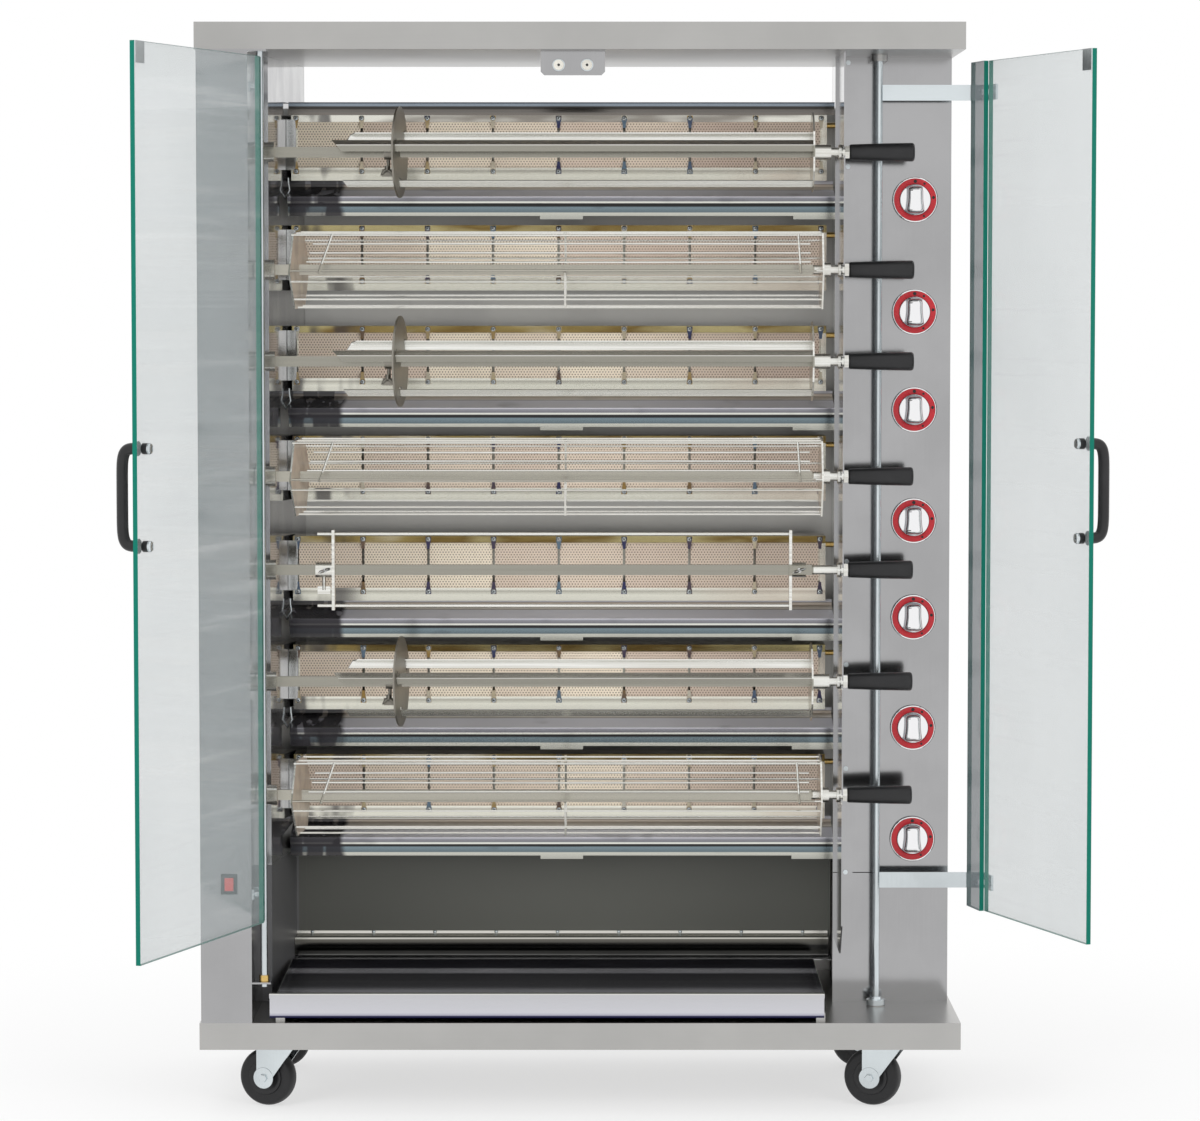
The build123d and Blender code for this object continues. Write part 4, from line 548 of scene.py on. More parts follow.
@dataclass(frozen=True)
class ShaftFinish:
    """Spits with blades: bright blades on a grey, well used shaft."""

    name: str
    axes: Sequence[float]
    shaft: Colour = (0.30, 0.29, 0.25)
    plate: Colour = (0.62, 0.60, 0.54)
    plate_metal: float = 1.0
    shadow: Colour = (0.30, 0.28, 0.25)
    shade: float = 0.5

    def make(self) -> bpy.types.Material:
        """Builds the material: the shaft's own height is duller, and faces square to it are plates."""
        graph = Graph(self.name)
        x, y, z = graph.axes(graph.place())
        local = graph.local(z, [axis - 0.085 for axis in self.axes]) - 0.085
        streak = graph.noise(graph.vector(x * 0.3, y * 4.0, z * 20.0), 12.0, 3.0)
        shaft = (1.0 - abs(local).smooth(0.009, 0.011)) * (x < 0.334)
        pale = tuple(min(1.0, 1.25 * c) for c in self.shaft)
        bright = graph.mix(streak.smooth(0.3, 0.7), (0.72, 0.71, 0.66), (0.88, 0.88, 0.84))
        normal = graph.axes(graph.add("ShaderNodeTexCoord", {}, {}, "Normal"))
        # under: painted shade on faces that look down, mixed toward the shadow colour
        under = (1.0 - normal[2].smooth(-0.6, 0.2)) * self.shade
        plate = abs(normal[0]).smooth(0.85, 0.9)
        stain = graph.noise(graph.place(), 30.0, 4.0).smooth(0.35, 0.75)
        plated = graph.mix(stain, self.plate, tuple(c * 0.72 for c in self.plate))
        bar = graph.mix(under, graph.mix(shaft, bright, graph.mix(streak, self.shaft, pale)), self.shadow)
        colour = graph.mix(plate, bar, plated)
        return graph.surface(Base_Color=colour, Metallic=1.0 - plate * (1.0 - self.plate_metal),
                             Roughness=streak * 0.12 + 0.16)


@dataclass(frozen=True)
class ChamberFinish:
    """Chamber sheets: mirror walls, and a plain grey lower back."""

    name: str
    back: float
    top: float
    side: float

    def make(self) -> bpy.types.Material:
        """Builds the material: the depth and height of the lower back turn the mirror into dull dark grey."""
        graph = Graph(self.name)
        x, y, z = graph.axes(graph.place())
        smear = graph.noise(graph.vector(x, y * 2.0, z), 9.0, 4.0)
        mirror = graph.mix(smear.smooth(0.35, 0.7), (0.42, 0.42, 0.43), (0.58, 0.58, 0.58))
        plain = graph.mix(smear * 0.3, (0.125, 0.128, 0.112), (0.17, 0.17, 0.155))
        low = z < self.top
        sheet = (y > self.back) * low
        side = (x < self.side) * low
        colour = graph.mix(side, graph.mix(sheet, mirror, plain), (0.17, 0.17, 0.175))
        dull = sheet.math("MAXIMUM", side)
        rough = dull * 0.35 + 0.06 + smear * 0.05
        return graph.surface(Base_Color=colour, Metallic=0.85 - dull * 0.6, Roughness=rough)


@dataclass(frozen=True)
class RearFinish:
    """The rear sheets: satin outside, dark and streaked where they show between the burners."""

    name: str
    back: float

    def make(self) -> bpy.types.Material:
        """Builds the material: the distance to the outermost rear plane splits outside from inside."""
        graph = Graph(self.name)
        x, y, z = graph.axes(graph.place())
        streak = graph.noise(graph.vector(x * 0.35, y, z * 16.0), 7.0, 3.0, 0.6)
        cloud = graph.noise(graph.place(), 5.0, 4.0, 0.55).smooth(0.3, 0.7)
        outside = (y > self.back - 0.0035).math("MAXIMUM", abs(x) > 0.6)
        inner = graph.mix(streak.smooth(0.3, 0.7), (0.09, 0.09, 0.095), (0.30, 0.30, 0.31))
        outer = graph.mix(cloud, (0.43, 0.425, 0.41), (0.48, 0.475, 0.455))
        colour = graph.mix(outside, inner, outer)
        return graph.surface(Base_Color=colour, Metallic=outside * 0.1 + 0.9, Roughness=outside * 0.16 + 0.14)


@dataclass(frozen=True)
class RailFinish:
    """A folded rail whose polished face shows painted bright and dark reflection bands."""

    name: str
    low: float
    high: float
    reflection_bands: tuple[tuple[float, Colour], ...]

    def make(self) -> bpy.types.Material:
        """Builds the material: the height over the rail's foot picks a painted dark or bright reflection band from a
        ramp.
        """
        graph = Graph(self.name)
        x, y, z = graph.axes(graph.place())
        smear = graph.noise(graph.vector(x * 0.5, y, z * 20.0), 6.0, 3.0)
        height = (z - self.low) / (self.high - self.low) + (smear - 0.5) * 0.05
        return graph.surface(Base_Color=graph.ramp(height, self.reflection_bands), Metallic=1.0, Roughness=smear * 0.1 + 0.12)


# Painted reflection bands of the lower and top rails; the top rail's pale blue band is a painted highlight.
LOWER_REFLECTION_BANDS = ((0.0, (0.50, 0.50, 0.48)), (0.08, (0.30, 0.30, 0.29)), (0.14, (0.07, 0.07, 0.065)),
               (0.55, (0.03, 0.03, 0.03)), (0.62, (0.09, 0.088, 0.08)), (0.84, (0.12, 0.115, 0.10)),
               (0.90, (0.62, 0.61, 0.56)))
UPPER_REFLECTION_BANDS = ((0.0, (0.20, 0.18, 0.16)), (0.30, (0.17, 0.16, 0.15)), (0.42, (0.24, 0.22, 0.20)),
               (0.47, (0.10, 0.095, 0.09)), (0.66, (0.12, 0.115, 0.11)), (0.70, (0.50, 0.59, 0.70)),
               (0.88, (0.56, 0.66, 0.78)), (0.93, (0.09, 0.11, 0.15)))


@dataclass(frozen=True)
class PanFinish:
    """The drip tray: a bright front over a dark inside, with painted highlight lines and a painted shadow line."""

    name: str
    front: float
    rim: float

    def make(self) -> bpy.types.Material:
        """Builds the material: the depth splits front from inside, and the height places the painted highlight lines
        and the painted shadow line.
        """
        graph = Graph(self.name)
        x, y, z = graph.axes(graph.place())
        smear = graph.noise(graph.vector(x * 0.6, y * 1.5, z * 4.0), 6.0, 4.0)
        inside = y > self.front
        depth = (self.rim - z) / 0.043
        # walls_with_painted_light: a painted highlight on the rim, dark inside walls and one painted highlight line
        # across them
        walls_with_painted_light = graph.ramp(depth, ((0.0, (0.55, 0.55, 0.55)), (0.05, (0.07, 0.07, 0.08)), (0.38, (0.055, 0.055, 0.065)),
                                   (0.44, (0.50, 0.50, 0.52)), (0.58, (0.40, 0.40, 0.42)), (0.64, (0.065, 0.065, 0.068))))
        # front: a painted highlight along the top edge and a painted shadow line at the foot
        front = graph.ramp(depth, ((0.0, (0.75, 0.75, 0.70)), (0.06, (0.55, 0.55, 0.57)), (0.80, (0.60, 0.60, 0.64)),
                                   (0.90, (0.42, 0.42, 0.50)), (0.94, (0.02, 0.02, 0.06))))
        floor = graph.mix(smear, (0.05, 0.05, 0.052), (0.10, 0.10, 0.10))
        walls_with_painted_light = graph.mix((z < self.rim - 0.0405), walls_with_painted_light, floor)
        colour = graph.mix(inside, front, walls_with_painted_light)
        return graph.surface(Base_Color=colour, Metallic=1.0, Roughness=smear * 0.14 + 0.10,
                             Normal=graph.bump(smear, 0.2, 0.002))


class Finish(Enum):
    """The finishes of this machine's pieces, each the name of a material."""

    FRONT = "front_steel"
    UPRIGHT = "upright_steel"
    MIRROR = "mirror_steel"
    TRAY = "burner_tray_steel"
    ROD = "spit_steel"
    DISC = "disc_steel"
    ZINC = "zinc_plate"
    CHROME = "bright_chrome"
    TILE = "burner_tile"
    BRASS = "turned_brass"
    GLASS_LEFT = "glass_left"
    GLASS_RIGHT = "glass_right"
    BLACK = "black_moulding"
    RED_RING = "red_ring"
    RED_SWITCH = "red_switch"
    TYRE = "tyre_rubber"
    TINTED = "heat_tinted_steel"
    SHAFT = "shaft_steel"
    SHELF = "shelf_steel"
    CHAMBER = "chamber_steel"
    PAN = "drip_pan_steel"
    MAGNET = "magnet_face"
    REAR = "rear_sheet_steel"
    RAIL = "lower_rail_steel"
    TOP_RAIL = "top_rail_steel"


@dataclass
class Datum:
    """The machine's datum and a few places read from the frame."""

    roof: tuple[Any, Any] = field(default_factory=lambda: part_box("roof_canopy"))

    @property
    def origin(self) -> np.ndarray:
        """The middle of the roof's front edge, on the floor."""
        low, high = np.array(self.roof[0]), np.array(self.roof[1])
        return np.array([(low[0] + high[0]) / 2, low[1], 0.0])

    def point(self, x: float, y: float, z: float) -> np.ndarray:
        """A place given from the datum in millimetres, in the row's frame."""
        return self.origin + np.array([x, y, z]) * MM


@dataclass
class Finishes:
    """Makes each finish once."""

    nodes: dict[str, bpy.types.Object]
    made: dict[Finish, bpy.types.Material] = field(default_factory=dict)

    def build(self) -> None:
        """Builds every material of the machine."""
        sheets = [
            Steel(Finish.FRONT.value, (0.475, 0.47, 0.457), 0.30, grain_axis=0, grain_depth=0.02, stain=0.03),
            Steel(Finish.UPRIGHT.value, (0.41, 0.41, 0.415), 0.12, grain_axis=2, grain_depth=0.02, stain=0.04),
            Steel(Finish.MIRROR.value, (0.66, 0.66, 0.65), 0.10, grain_axis=0, wave=0.5),
            Steel(Finish.DISC.value, (0.33, 0.31, 0.27), 0.42, grain_axis=2, stain=0.14),
            Steel(Finish.ZINC.value, (0.66, 0.71, 0.73), 0.24, grain_axis=2, stain=0.08),
            Steel(Finish.BRASS.value, (0.72, 0.50, 0.18), 0.25, grain_axis=0),
        ]
        plastics = [
            Moulded(Finish.BLACK.value, (0.006, 0.006, 0.007), 0.36),
            Moulded(Finish.RED_RING.value, (0.52, 0.012, 0.022), 0.35, pebble=0.03),
            Moulded(Finish.RED_SWITCH.value, (0.55, 0.03, 0.02), 0.25, pebble=0.0, coat=0.4),
            Moulded(Finish.TYRE.value, (0.006, 0.006, 0.007), 0.50),
            Moulded(Finish.MAGNET.value, (0.55, 0.53, 0.48), 0.50),
        ]
        panes = [Glass(Finish.GLASS_LEFT.value, self.sheets("door_left_glass")),
                 Glass(Finish.GLASS_RIGHT.value, self.sheets("door_right_glass"))]
        for kind in (*sheets, *plastics, *panes, Chrome(Finish.CHROME.value)):
            self.made[Finish(kind.name)] = kind.make()
        self.chamber()

    def levels(self, node: str) -> np.ndarray:
        """Returns the heights of a node's vertices, each once and in order."""
        mesh = self.nodes[node].data
        points = np.empty(len(mesh.vertices) * 3)
        mesh.vertices.foreach_get("co", points)
        return np.unique(np.round(points.reshape(-1, 3)[:, 2], 4))

    def chamber(self) -> None:
        """Builds the finishes that follow the rows of burners, spits and shelves."""
        (low, high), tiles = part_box("ceramic_tiles"), self.levels("ceramic_tiles")
        width = (high[0] - low[0]) / (8 + 7 * 0.042)
        rows = [(float(a), float(b)) for a, b in zip(tiles[::2], tiles[1::2])]
        bottoms = [row[0] for row in rows]
        shelf = self.levels("deflector_shelves")
        feet = [float(level) for level in shelf[np.insert(np.diff(shelf) > 0.05, 0, True)]]
        axes = {number: float(sum(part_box(f"spit_grip_{number}")[end][2] for end in (0, 1)) / 2)
                for number in range(1, ROW_COUNT + 1)}
        face, tray_top = float(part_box("burner_trays")[0][1]), float(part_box("burner_trays")[1][2])
        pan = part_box("drip_tray")
        for kind in (Ceramic(Finish.TILE.value, float(low[0]) - 0.021 * width, width * 1.042, bottoms),
                     TrayFinish(Finish.TRAY.value, rows), HeatTint(Finish.TINTED.value, width * 1.042),
                     ShelfFinish(Finish.SHELF.value, feet),
                     ShaftFinish(Finish.SHAFT.value, [axes[number] for number in (1, 3, 5, 6)], shade=0.08),
                     ShaftFinish(Finish.ROD.value, [axes[number] for number in (2, 4, 7)], (0.40, 0.385, 0.33),
                                 (0.52, 0.43, 0.34), 0.3, (0.62, 0.60, 0.55)),
                     RailFinish(Finish.RAIL.value, 0.207, 0.2437, LOWER_REFLECTION_BANDS),
                     RailFinish(Finish.TOP_RAIL.value, tray_top, tray_top + 0.0228, UPPER_REFLECTION_BANDS),
                     RearFinish(Finish.REAR.value, float(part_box("back_covers")[1][1])),
                     ChamberFinish(Finish.CHAMBER.value, face + 0.06, feet[0] + 0.008, float(low[0]) - 0.008),
                     PanFinish(Finish.PAN.value, float(pan[0][1]) + 0.012, float(pan[1][2]))):
            self.made[Finish(kind.name)] = kind.make()

    def sheets(self, node: str) -> GlassSheets:
        """Measures a door's glass from its faces: the largest face is on the pane, the next kind on the strip.

        Args:
            node: The node's name.

        Returns:
            The two sheets.
        """
        mesh = self.nodes[node].data
        count = len(mesh.polygons)
        normals, centres, areas = np.empty(count * 3), np.empty(count * 3), np.empty(count)
        mesh.polygons.foreach_get("normal", normals)
        mesh.polygons.foreach_get("center", centres)
        mesh.polygons.foreach_get("area", areas)
        normals, centres = normals.reshape(-1, 3), centres.reshape(-1, 3)
        pane = normals[np.argmax(areas)]
        off = np.abs(normals @ pane)
        strip = normals[np.argmax(areas * (off < 0.999) * (np.abs(normals[:, 2]) < 0.5))]
        large = centres[(off > 0.99) & (areas > 0.2 * areas.max())] @ pane
        return GlassSheets(tuple(map(float, pane)), float(large.min()), float(large.max()), tuple(map(float, strip)))

    def dress(self, piece: bpy.types.Object, finish: Finish) -> None:
        """Gives a whole piece one finish."""
        piece.data.materials.clear()
        piece.data.materials.append(self.made[finish])


def surface(points: np.ndarray, closed_u: bool, closed_v: bool) -> tuple[np.ndarray, np.ndarray]:
    """Turns a grid of points into quads: each cell joins point (i, j) to its next neighbours.

    Args:
        points: An array of shape (u, v, 3).
        closed_u: Whether the first axis wraps round.
        closed_v: Whether the second axis wraps round.

    Returns:
        The vertices and the quads.
    """
    count_u, count_v = points.shape[:2]
    index = np.arange(count_u * count_v).reshape(count_u, count_v)
    if closed_u:
        index = np.vstack([index, index[:1]])
    if closed_v:
        index = np.hstack([index, index[:, :1]])
    quads = np.stack([index[:-1, :-1], index[1:, :-1], index[1:, 1:], index[:-1, 1:]], axis=-1)
    return points.reshape(-1, 3), quads.reshape(-1, 4)


@dataclass
class Shape:
    """Gathers surfaces into one mesh."""

    vertices: list[np.ndarray] = field(default_factory=list)
    faces: list[np.ndarray] = field(default_factory=list)
    count: int = 0

    def add(self, vertices: np.ndarray, faces: np.ndarray) -> "Shape":
        """Adds a surface and returns the shape."""
        self.vertices.append(np.asarray(vertices, float))
        self.faces.append(np.asarray(faces) + self.count)
        self.count += len(vertices)
        return self

    def turned(self, centre: np.ndarray, axis: np.ndarray, profile: Sequence[tuple[float, float]],
               sides: int = 48, closed: bool = False) -> "Shape":
        """Adds a turned body: each profile point (along, radius) sweeps a circle about the axis.

        Args:
            centre: The point where along is 0.
            axis: The turning axis.
            profile: Pairs of metres along the axis and radius, with both ends at radius 0 to close it.
            sides: The number of steps round.
            closed: Whether the profile joins its own start, as for a ring.

        Returns:
            The shape.
        """
        axis = np.asarray(axis, float) / np.linalg.norm(axis)
        side = np.cross(axis, [0.31, 0.57, 0.76])
        side /= np.linalg.norm(side)
        other = np.cross(axis, side)
        profile_array = np.maximum(np.array(profile, float), [[-np.inf, 1e-6]])
        angle = np.linspace(0, 2 * np.pi, sides, endpoint=False)
        ring = np.cos(angle)[:, None] * side + np.sin(angle)[:, None] * other
        points = (np.asarray(centre) + profile_array[None, :, :1] * axis + profile_array[None, :, 1:] * ring[:, None, :])
        return self.add(*surface(points, True, closed))

    def tube(self, path: np.ndarray, radius: Any, sides: int = 16) -> "Shape":
        """Adds a round tube: circles square to the path's direction, closed by a point at both ends.

        Args:
            path: The points that the tube follows.
            radius: One radius, or one for each point.
            sides: The number of steps round.

        Returns:
            The shape.
        """
        path = np.asarray(path, float)
        radii = np.broadcast_to(radius, len(path)).astype(float)
        path = np.vstack([path[:1], path, path[-1:]])
        radii = np.concatenate([[1e-6], radii, [1e-6]])
        run = np.gradient(path, axis=0)
        run[0], run[-1] = run[1], run[-2]
        run /= np.linalg.norm(run, axis=1)[:, None]
        guide = np.array([0.0, 0.0, 1.0]) if abs(run[:, 2]).max() < 0.9 else np.array([0.13, 0.99, 0.05])
        side = np.cross(run, guide)
        side /= np.linalg.norm(side, axis=1)[:, None]
        other = np.cross(run, side)
        angle = np.linspace(0, 2 * np.pi, sides, endpoint=False)
        points = path[:, None] + radii[:, None, None] * (np.cos(angle)[None, :, None] * side[:, None]
                                                          + np.sin(angle)[None, :, None] * other[:, None])
        return self.add(*surface(points, False, True))

    def piece(self, name: str, smooth: bool = True, bevel: float = 0.0) -> bpy.types.Object:
        """Makes the object, with its faces turned outwards.

        Args:
            name: The piece's name.
            smooth: Whether faces are shaded smooth up to a sharp angle.
            bevel: The width of a bevel on sharp edges, or 0.

        Returns:
            The object at the origin.
        """
        mesh = bpy.data.meshes.new(name)
        mesh.from_pydata(np.vstack(self.vertices).tolist(), [], [f for faces in self.faces for f in faces.tolist()])
        piece = bpy.data.objects.new(name, mesh)
        bpy.context.scene.collection.objects.link(piece)
        weld_and_turn(mesh)
        if smooth:
            mesh.shade_smooth()
            mesh.set_sharp_from_angle(angle=np.radians(32))
        if bevel:
            modifier = piece.modifiers.new("edge", "BEVEL")
            modifier.width = bevel
            modifier.segments = 2
            modifier.limit_method = "ANGLE"
        return piece


def weld_and_turn(mesh: bpy.types.Mesh) -> None:
    """Merges doubled vertices and turns every face outwards.

    Args:
        mesh: The mesh to clean.
    """
    work = bmesh.new()
    work.from_mesh(mesh)
    bmesh.ops.remove_doubles(work, verts=work.verts, dist=2e-6)
    bmesh.ops.dissolve_degenerate(work, edges=work.edges, dist=1e-7)
    bmesh.ops.recalc_face_normals(work, faces=work.faces)
    work.to_mesh(mesh)
    work.free()


@dataclass
class Studio:
    """The floor, the light and the camera at the photograph's view."""

    datum: Datum
    camera_place: tuple[float, float, float] = (33.9, -7226.0, 1409.9)
    pitch: float = 0.0632
    focal_pixels: float = 4270.0
    image_width: int = 1200
    sensor: float = 36.0

    def build(self) -> None:
        """Sets up everything that isn't part of the machine."""
        self.camera()
        self.floor()
        self.light()
        scene = bpy.context.scene
        scene.view_settings.view_transform = "Standard"

    def camera(self) -> None:
        """Places the camera from the fitted view."""
        data = bpy.data.cameras.new("camera")
        data.sensor_width = self.sensor
        data.lens = self.sensor * self.focal_pixels / self.image_width
        data.clip_end = 60.0
        camera = bpy.data.objects.new("camera", data)
        camera.location = self.datum.point(*self.camera_place)
        camera.rotation_euler = Euler((np.pi / 2 - self.pitch, 0.0, 0.0))
        bpy.context.scene.collection.objects.link(camera)
        bpy.context.scene.camera = camera

    def floor(self) -> None:
        """Lays a pale plain floor."""
        size = 30.0
        corners = np.array([[-size, -size, 0], [size, -size, 0], [size, size, 0], [-size, size, 0]], float)
        mesh = bpy.data.meshes.new("studio_floor")
        mesh.from_pydata(corners.tolist(), [], [(0, 1, 2, 3)])
        floor = bpy.data.objects.new("studio_floor", mesh)
        bpy.context.scene.collection.objects.link(floor)
        graph = Graph("studio_floor")
        x, y, z = graph.axes(graph.place())
        speck = graph.noise(graph.place(), 3.0).smooth(0.3, 0.7) * 0.01
        colour = graph.mix(speck, (0.93, 0.93, 0.93), (0.90, 0.90, 0.90))
        paper = graph.add("ShaderNodeBsdfPrincipled", {}, {"Base Color": colour, "Roughness": 0.95})
        white = graph.add("ShaderNodeEmission", {}, {0: (1.0, 1.0, 1.0, 1.0), 1: 1.0})
        seen = graph.add("ShaderNodeLightPath", {}, {}, "Is Camera Ray")
        mirrored = graph.add("ShaderNodeLightPath", {}, {}, "Is Glossy Ray")
        far = (x * x + y * y) ** 0.5
        share = seen.math("MAXIMUM", mirrored) * (far.smooth(0.5, 2.2) * 0.42 + 0.58)
        mesh.materials.append(graph.finish(graph.add("ShaderNodeMixShader", {}, {0: share, 1: paper, 2: white})))

    def light(self) -> None:
        """Lights the scene with a pale world and two soft panels."""
        world = bpy.data.worlds.new("studio_world")
        world.use_nodes = True
        bpy.context.scene.world = world
        tree = world.node_tree
        tree.nodes.clear()
        path = tree.nodes.new("ShaderNodeLightPath")
        seen = tree.nodes.new("ShaderNodeMath")
        seen.operation = "MAXIMUM"
        tree.links.new(path.outputs["Is Camera Ray"], seen.inputs[0])
        tree.links.new(path.outputs["Is Transmission Ray"], seen.inputs[1])
        both = tree.nodes.new("ShaderNodeMath")
        both.operation = "MAXIMUM"
        tree.links.new(seen.outputs[0], both.inputs[0])
        tree.links.new(path.outputs["Is Glossy Ray"], both.inputs[1])
        strength = tree.nodes.new("ShaderNodeMapRange")
        strength.inputs[3].default_value = 0.85
        strength.inputs[4].default_value = 1.0
        tree.links.new(both.outputs[0], strength.inputs[0])
        background = tree.nodes.new("ShaderNodeBackground")
        background.inputs[0].default_value = (1.0, 1.0, 1.0, 1.0)
        tree.links.new(strength.outputs[0], background.inputs[1])
        output = tree.nodes.new("ShaderNodeOutputWorld")
        tree.links.new(background.outputs[0], output.inputs[0])
        self.panel("key_panel", (-3000, -3600, 2300), (1.28, 0.0, -0.70), 2.4, 105.0)
        self.panel("fill_panel", (3000, -3600, 2000), (1.38, 0.0, 0.70), 2.4, 75.0)

    def panel(self, name: str, place: tuple[float, float, float], turn: tuple[float, float, float],
              size: float, power: float) -> None:
        """Hangs a soft square light.

        Args:
            name: The light's name.
            place: Its place from the datum in millimetres.
            turn: Its rotation in radians.
            size: Its side in metres.
            power: Its power in watts.
        """
        data = bpy.data.lights.new(name, "AREA")
        data.size = size
        data.energy = power
        light = bpy.data.objects.new(name, data)
        light.location = self.datum.point(*place)
        light.rotation_euler = Euler(turn)
        light.visible_glossy = False
        bpy.context.scene.collection.objects.link(light)


@dataclass
class Workshop:
    """What every sub-assembly needs: the frame, the datum and the finishes."""

    frame: dict[str, Any]
    datum: Datum
    finishes: Finishes

    def dress(self, finish: Finish, *names: str) -> None:
        """Gives carried-over CAD nodes a finish.

        Args:
            finish: The finish.
            names: The nodes' names, or starts of names that end in an underscore.
        """
        for name, piece in self.frame["nodes"].items():
            if any(name == want or (want.endswith("_") and name.startswith(want)) for want in names):
                self.finishes.dress(piece, finish)

    def place(self, piece: bpy.types.Object, body: str, finish: Finish, slot: str, *nodes: str) -> bpy.types.Object:
        """Dresses a new piece, lets it ride and hides the nodes that it stands for.

        Args:
            piece: The new piece.
            body: The body that it rides on.
            finish: Its finish.
            slot: The record's material slot; not used.
            nodes: The CAD nodes that it replaces, if any.

        Returns:
            The piece.
        """
        if finish in self.finishes.made:
            self.finishes.dress(piece, finish)
        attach(piece, body)
        if nodes:
            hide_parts(*nodes)
        LOG.info("%s rides on %s, %d faces", piece.name, body, len(piece.data.polygons))
        return piece

    def box(self, node: str) -> tuple[np.ndarray, np.ndarray]:
        """Returns a node's lowest and highest corners."""
        low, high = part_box(node)
        return np.array(low, float), np.array(high, float)


@dataclass
class Cabinet:
    """The steel sheets of the cabinet and what is bolted to them."""

    shop: Workshop
    catch_face: float = 0.0

    def build(self) -> None:
        """Dresses the sheets and adds the rows of screws."""
        self.shop.dress(Finish.FRONT, "base_tray", "roof_canopy", "right_column")
        self.shop.dress(Finish.REAR, "back_covers")
        self.shop.dress(Finish.UPRIGHT, "left_column", "spit_support", "control_panel", "magnet_catch")
        self.shop.dress(Finish.CHAMBER, "chamber_walls")
        self.shop.dress(Finish.SHELF, "deflector_shelves")
        self.shop.dress(Finish.PAN, "drip_tray")
        self.shop.dress(Finish.ZINC, "support_screws", "drive_", "gas_train", "caster_mounts", "caster_fork_")
        self.shop.dress(Finish.BRASS, "gas_injectors")
        self.shop.dress(Finish.BLACK, "switch_bezel")
        self.shop.dress(Finish.RED_SWITCH, "switch_rocker")

        self.magnets()
        self.lower_rail()
        self.top_rail()
        self.rod_rings()

    def magnets(self) -> None:
        """Adds the two pot magnets: a bright cup round a pale face with a dark middle."""
        mesh = self.shop.frame["nodes"]["magnet_catch"].data
        points = np.empty(len(mesh.vertices) * 3)
        mesh.vertices.foreach_get("co", points)
        points = points.reshape(-1, 3)
        points = points[points[:, 1] < points[:, 1].min() + 0.1 * MM]
        (left, face, bottom), (right, _, top) = points.min(axis=0), points.max(axis=0)
        radius = (top - bottom) / 2
        cups, faces, middles = Shape(), Shape(), Shape()
        front = np.array([0.0, -1.0, 0.0])
        for x in (left + radius, right - radius):
            seat = np.array([x, face, (bottom + top) / 2])
            cups.turned(seat, front, [(-0.0038, 0), (-0.0038, radius + 0.0001), (0.0, radius + 0.0001),
                                      (0.00022, radius - 0.0003), (0.00022, radius - 0.0016),
                                      (0.00005, radius - 0.0018), (0.00005, 0)], 48)
            faces.turned(seat, front, [(-0.001, 0), (-0.001, radius - 0.0019), (0.0001, radius - 0.0019),
                                       (0.00014, radius - 0.0023), (0.00014, 0)], 48)
            middles.turned(seat, front, [(-0.0005, 0), (-0.0005, 0.0023), (0.00018, 0.0023), (0.00018, 0)], 20)
        self.shop.place(cups.piece("magnet_cups"), "cabinet", Finish.ZINC, "zinc")
        self.shop.place(faces.piece("magnet_faces"), "cabinet", Finish.MAGNET, "ceramic")
        self.shop.place(middles.piece("magnet_middles"), "cabinet", Finish.BLACK, "dark_plastic")

    def lower_rail(self) -> None:
        """Adds the folded rail below the lower back panel, the panel's left strip and their row of screws."""
        low, high = self.shop.box("ceramic_tiles")
        back = self.shop.box("burner_trays")[1][1]
        left, right = low[0] - 14.0 * MM, high[0] + 22.0 * MM
        profile = np.array([(-0.002, 0.250), (-0.0035, 0.2445), (-0.0060, 0.2425), (-0.026, 0.2415), (-0.0285, 0.2400),
                            (-0.0290, 0.2370), (-0.0290, 0.2130), (-0.0280, 0.2100), (-0.0250, 0.2085),
                            (-0.0120, 0.2080), (-0.0120, 0.2070), (-0.0255, 0.2075), (-0.0292, 0.2092),
                            (-0.0302, 0.2125), (-0.0302, 0.2375), (-0.0294, 0.2412), (-0.0264, 0.2427),
                            (-0.0065, 0.2437), (-0.0045, 0.2452), (-0.0032, 0.2500)])
        rail = folded_strip(Shape(), left, right, profile + [back, 0.0])
        self.shop.place(rail.piece("lower_rail"), "cabinet", Finish.RAIL, "polished_steel")
        strip = np.array([(left - 0.010, 0.207), (left + 0.020, 0.207), (left + 0.020, 0.400), (left - 0.010, 0.400)])
        sheet = np.empty((2, 4, 3))
        sheet[..., 0] = strip[:, 0]
        sheet[..., 1] = (back - np.array([0.0032, 0.0022]))[:, None]
        sheet[..., 2] = strip[:, 1]
        plate = Shape().add(*surface(sheet, False, True)).add(sheet.reshape(-1, 3), np.array([[0, 1, 2, 3], [4, 5, 6, 7]]))
        self.shop.place(plate.piece("lower_side_strip", smooth=False), "cabinet", Finish.CHAMBER, "polished_steel")
        screws = Shape()
        for x in np.linspace(left + 0.030, right - 0.045, 9):
            domed_screw(screws, np.array([x, back - 0.003, 0.2475]), np.array([0.0, -1.0, 0.0]), 3.6 * MM, 2.4 * MM)
        self.shop.place(screws.piece("lower_back_screws"), "cabinet", Finish.ZINC, "zinc")

    def top_rail(self) -> None:
        """Adds the folded rail that closes the chamber above the top burner."""
        low, high = self.shop.box("deflector_shelves")
        tray_low, tray_high = self.shop.box("burner_trays")
        profile = np.array([(-0.0030, 0.0002), (-0.0030, 0.0205), (-0.0022, 0.0222), (-0.0005, 0.0228),
                            (0.0300, 0.0228), (0.0300, 0.0216), (0.0, 0.0216), (-0.0012, 0.0210),
                            (-0.0018, 0.0200), (-0.0018, 0.0002)])
        rail = folded_strip(Shape(), low[0], high[0], profile + [tray_low[1], tray_high[2]])
        self.shop.place(rail.piece("top_rail"), "cabinet", Finish.TOP_RAIL, "polished_steel")

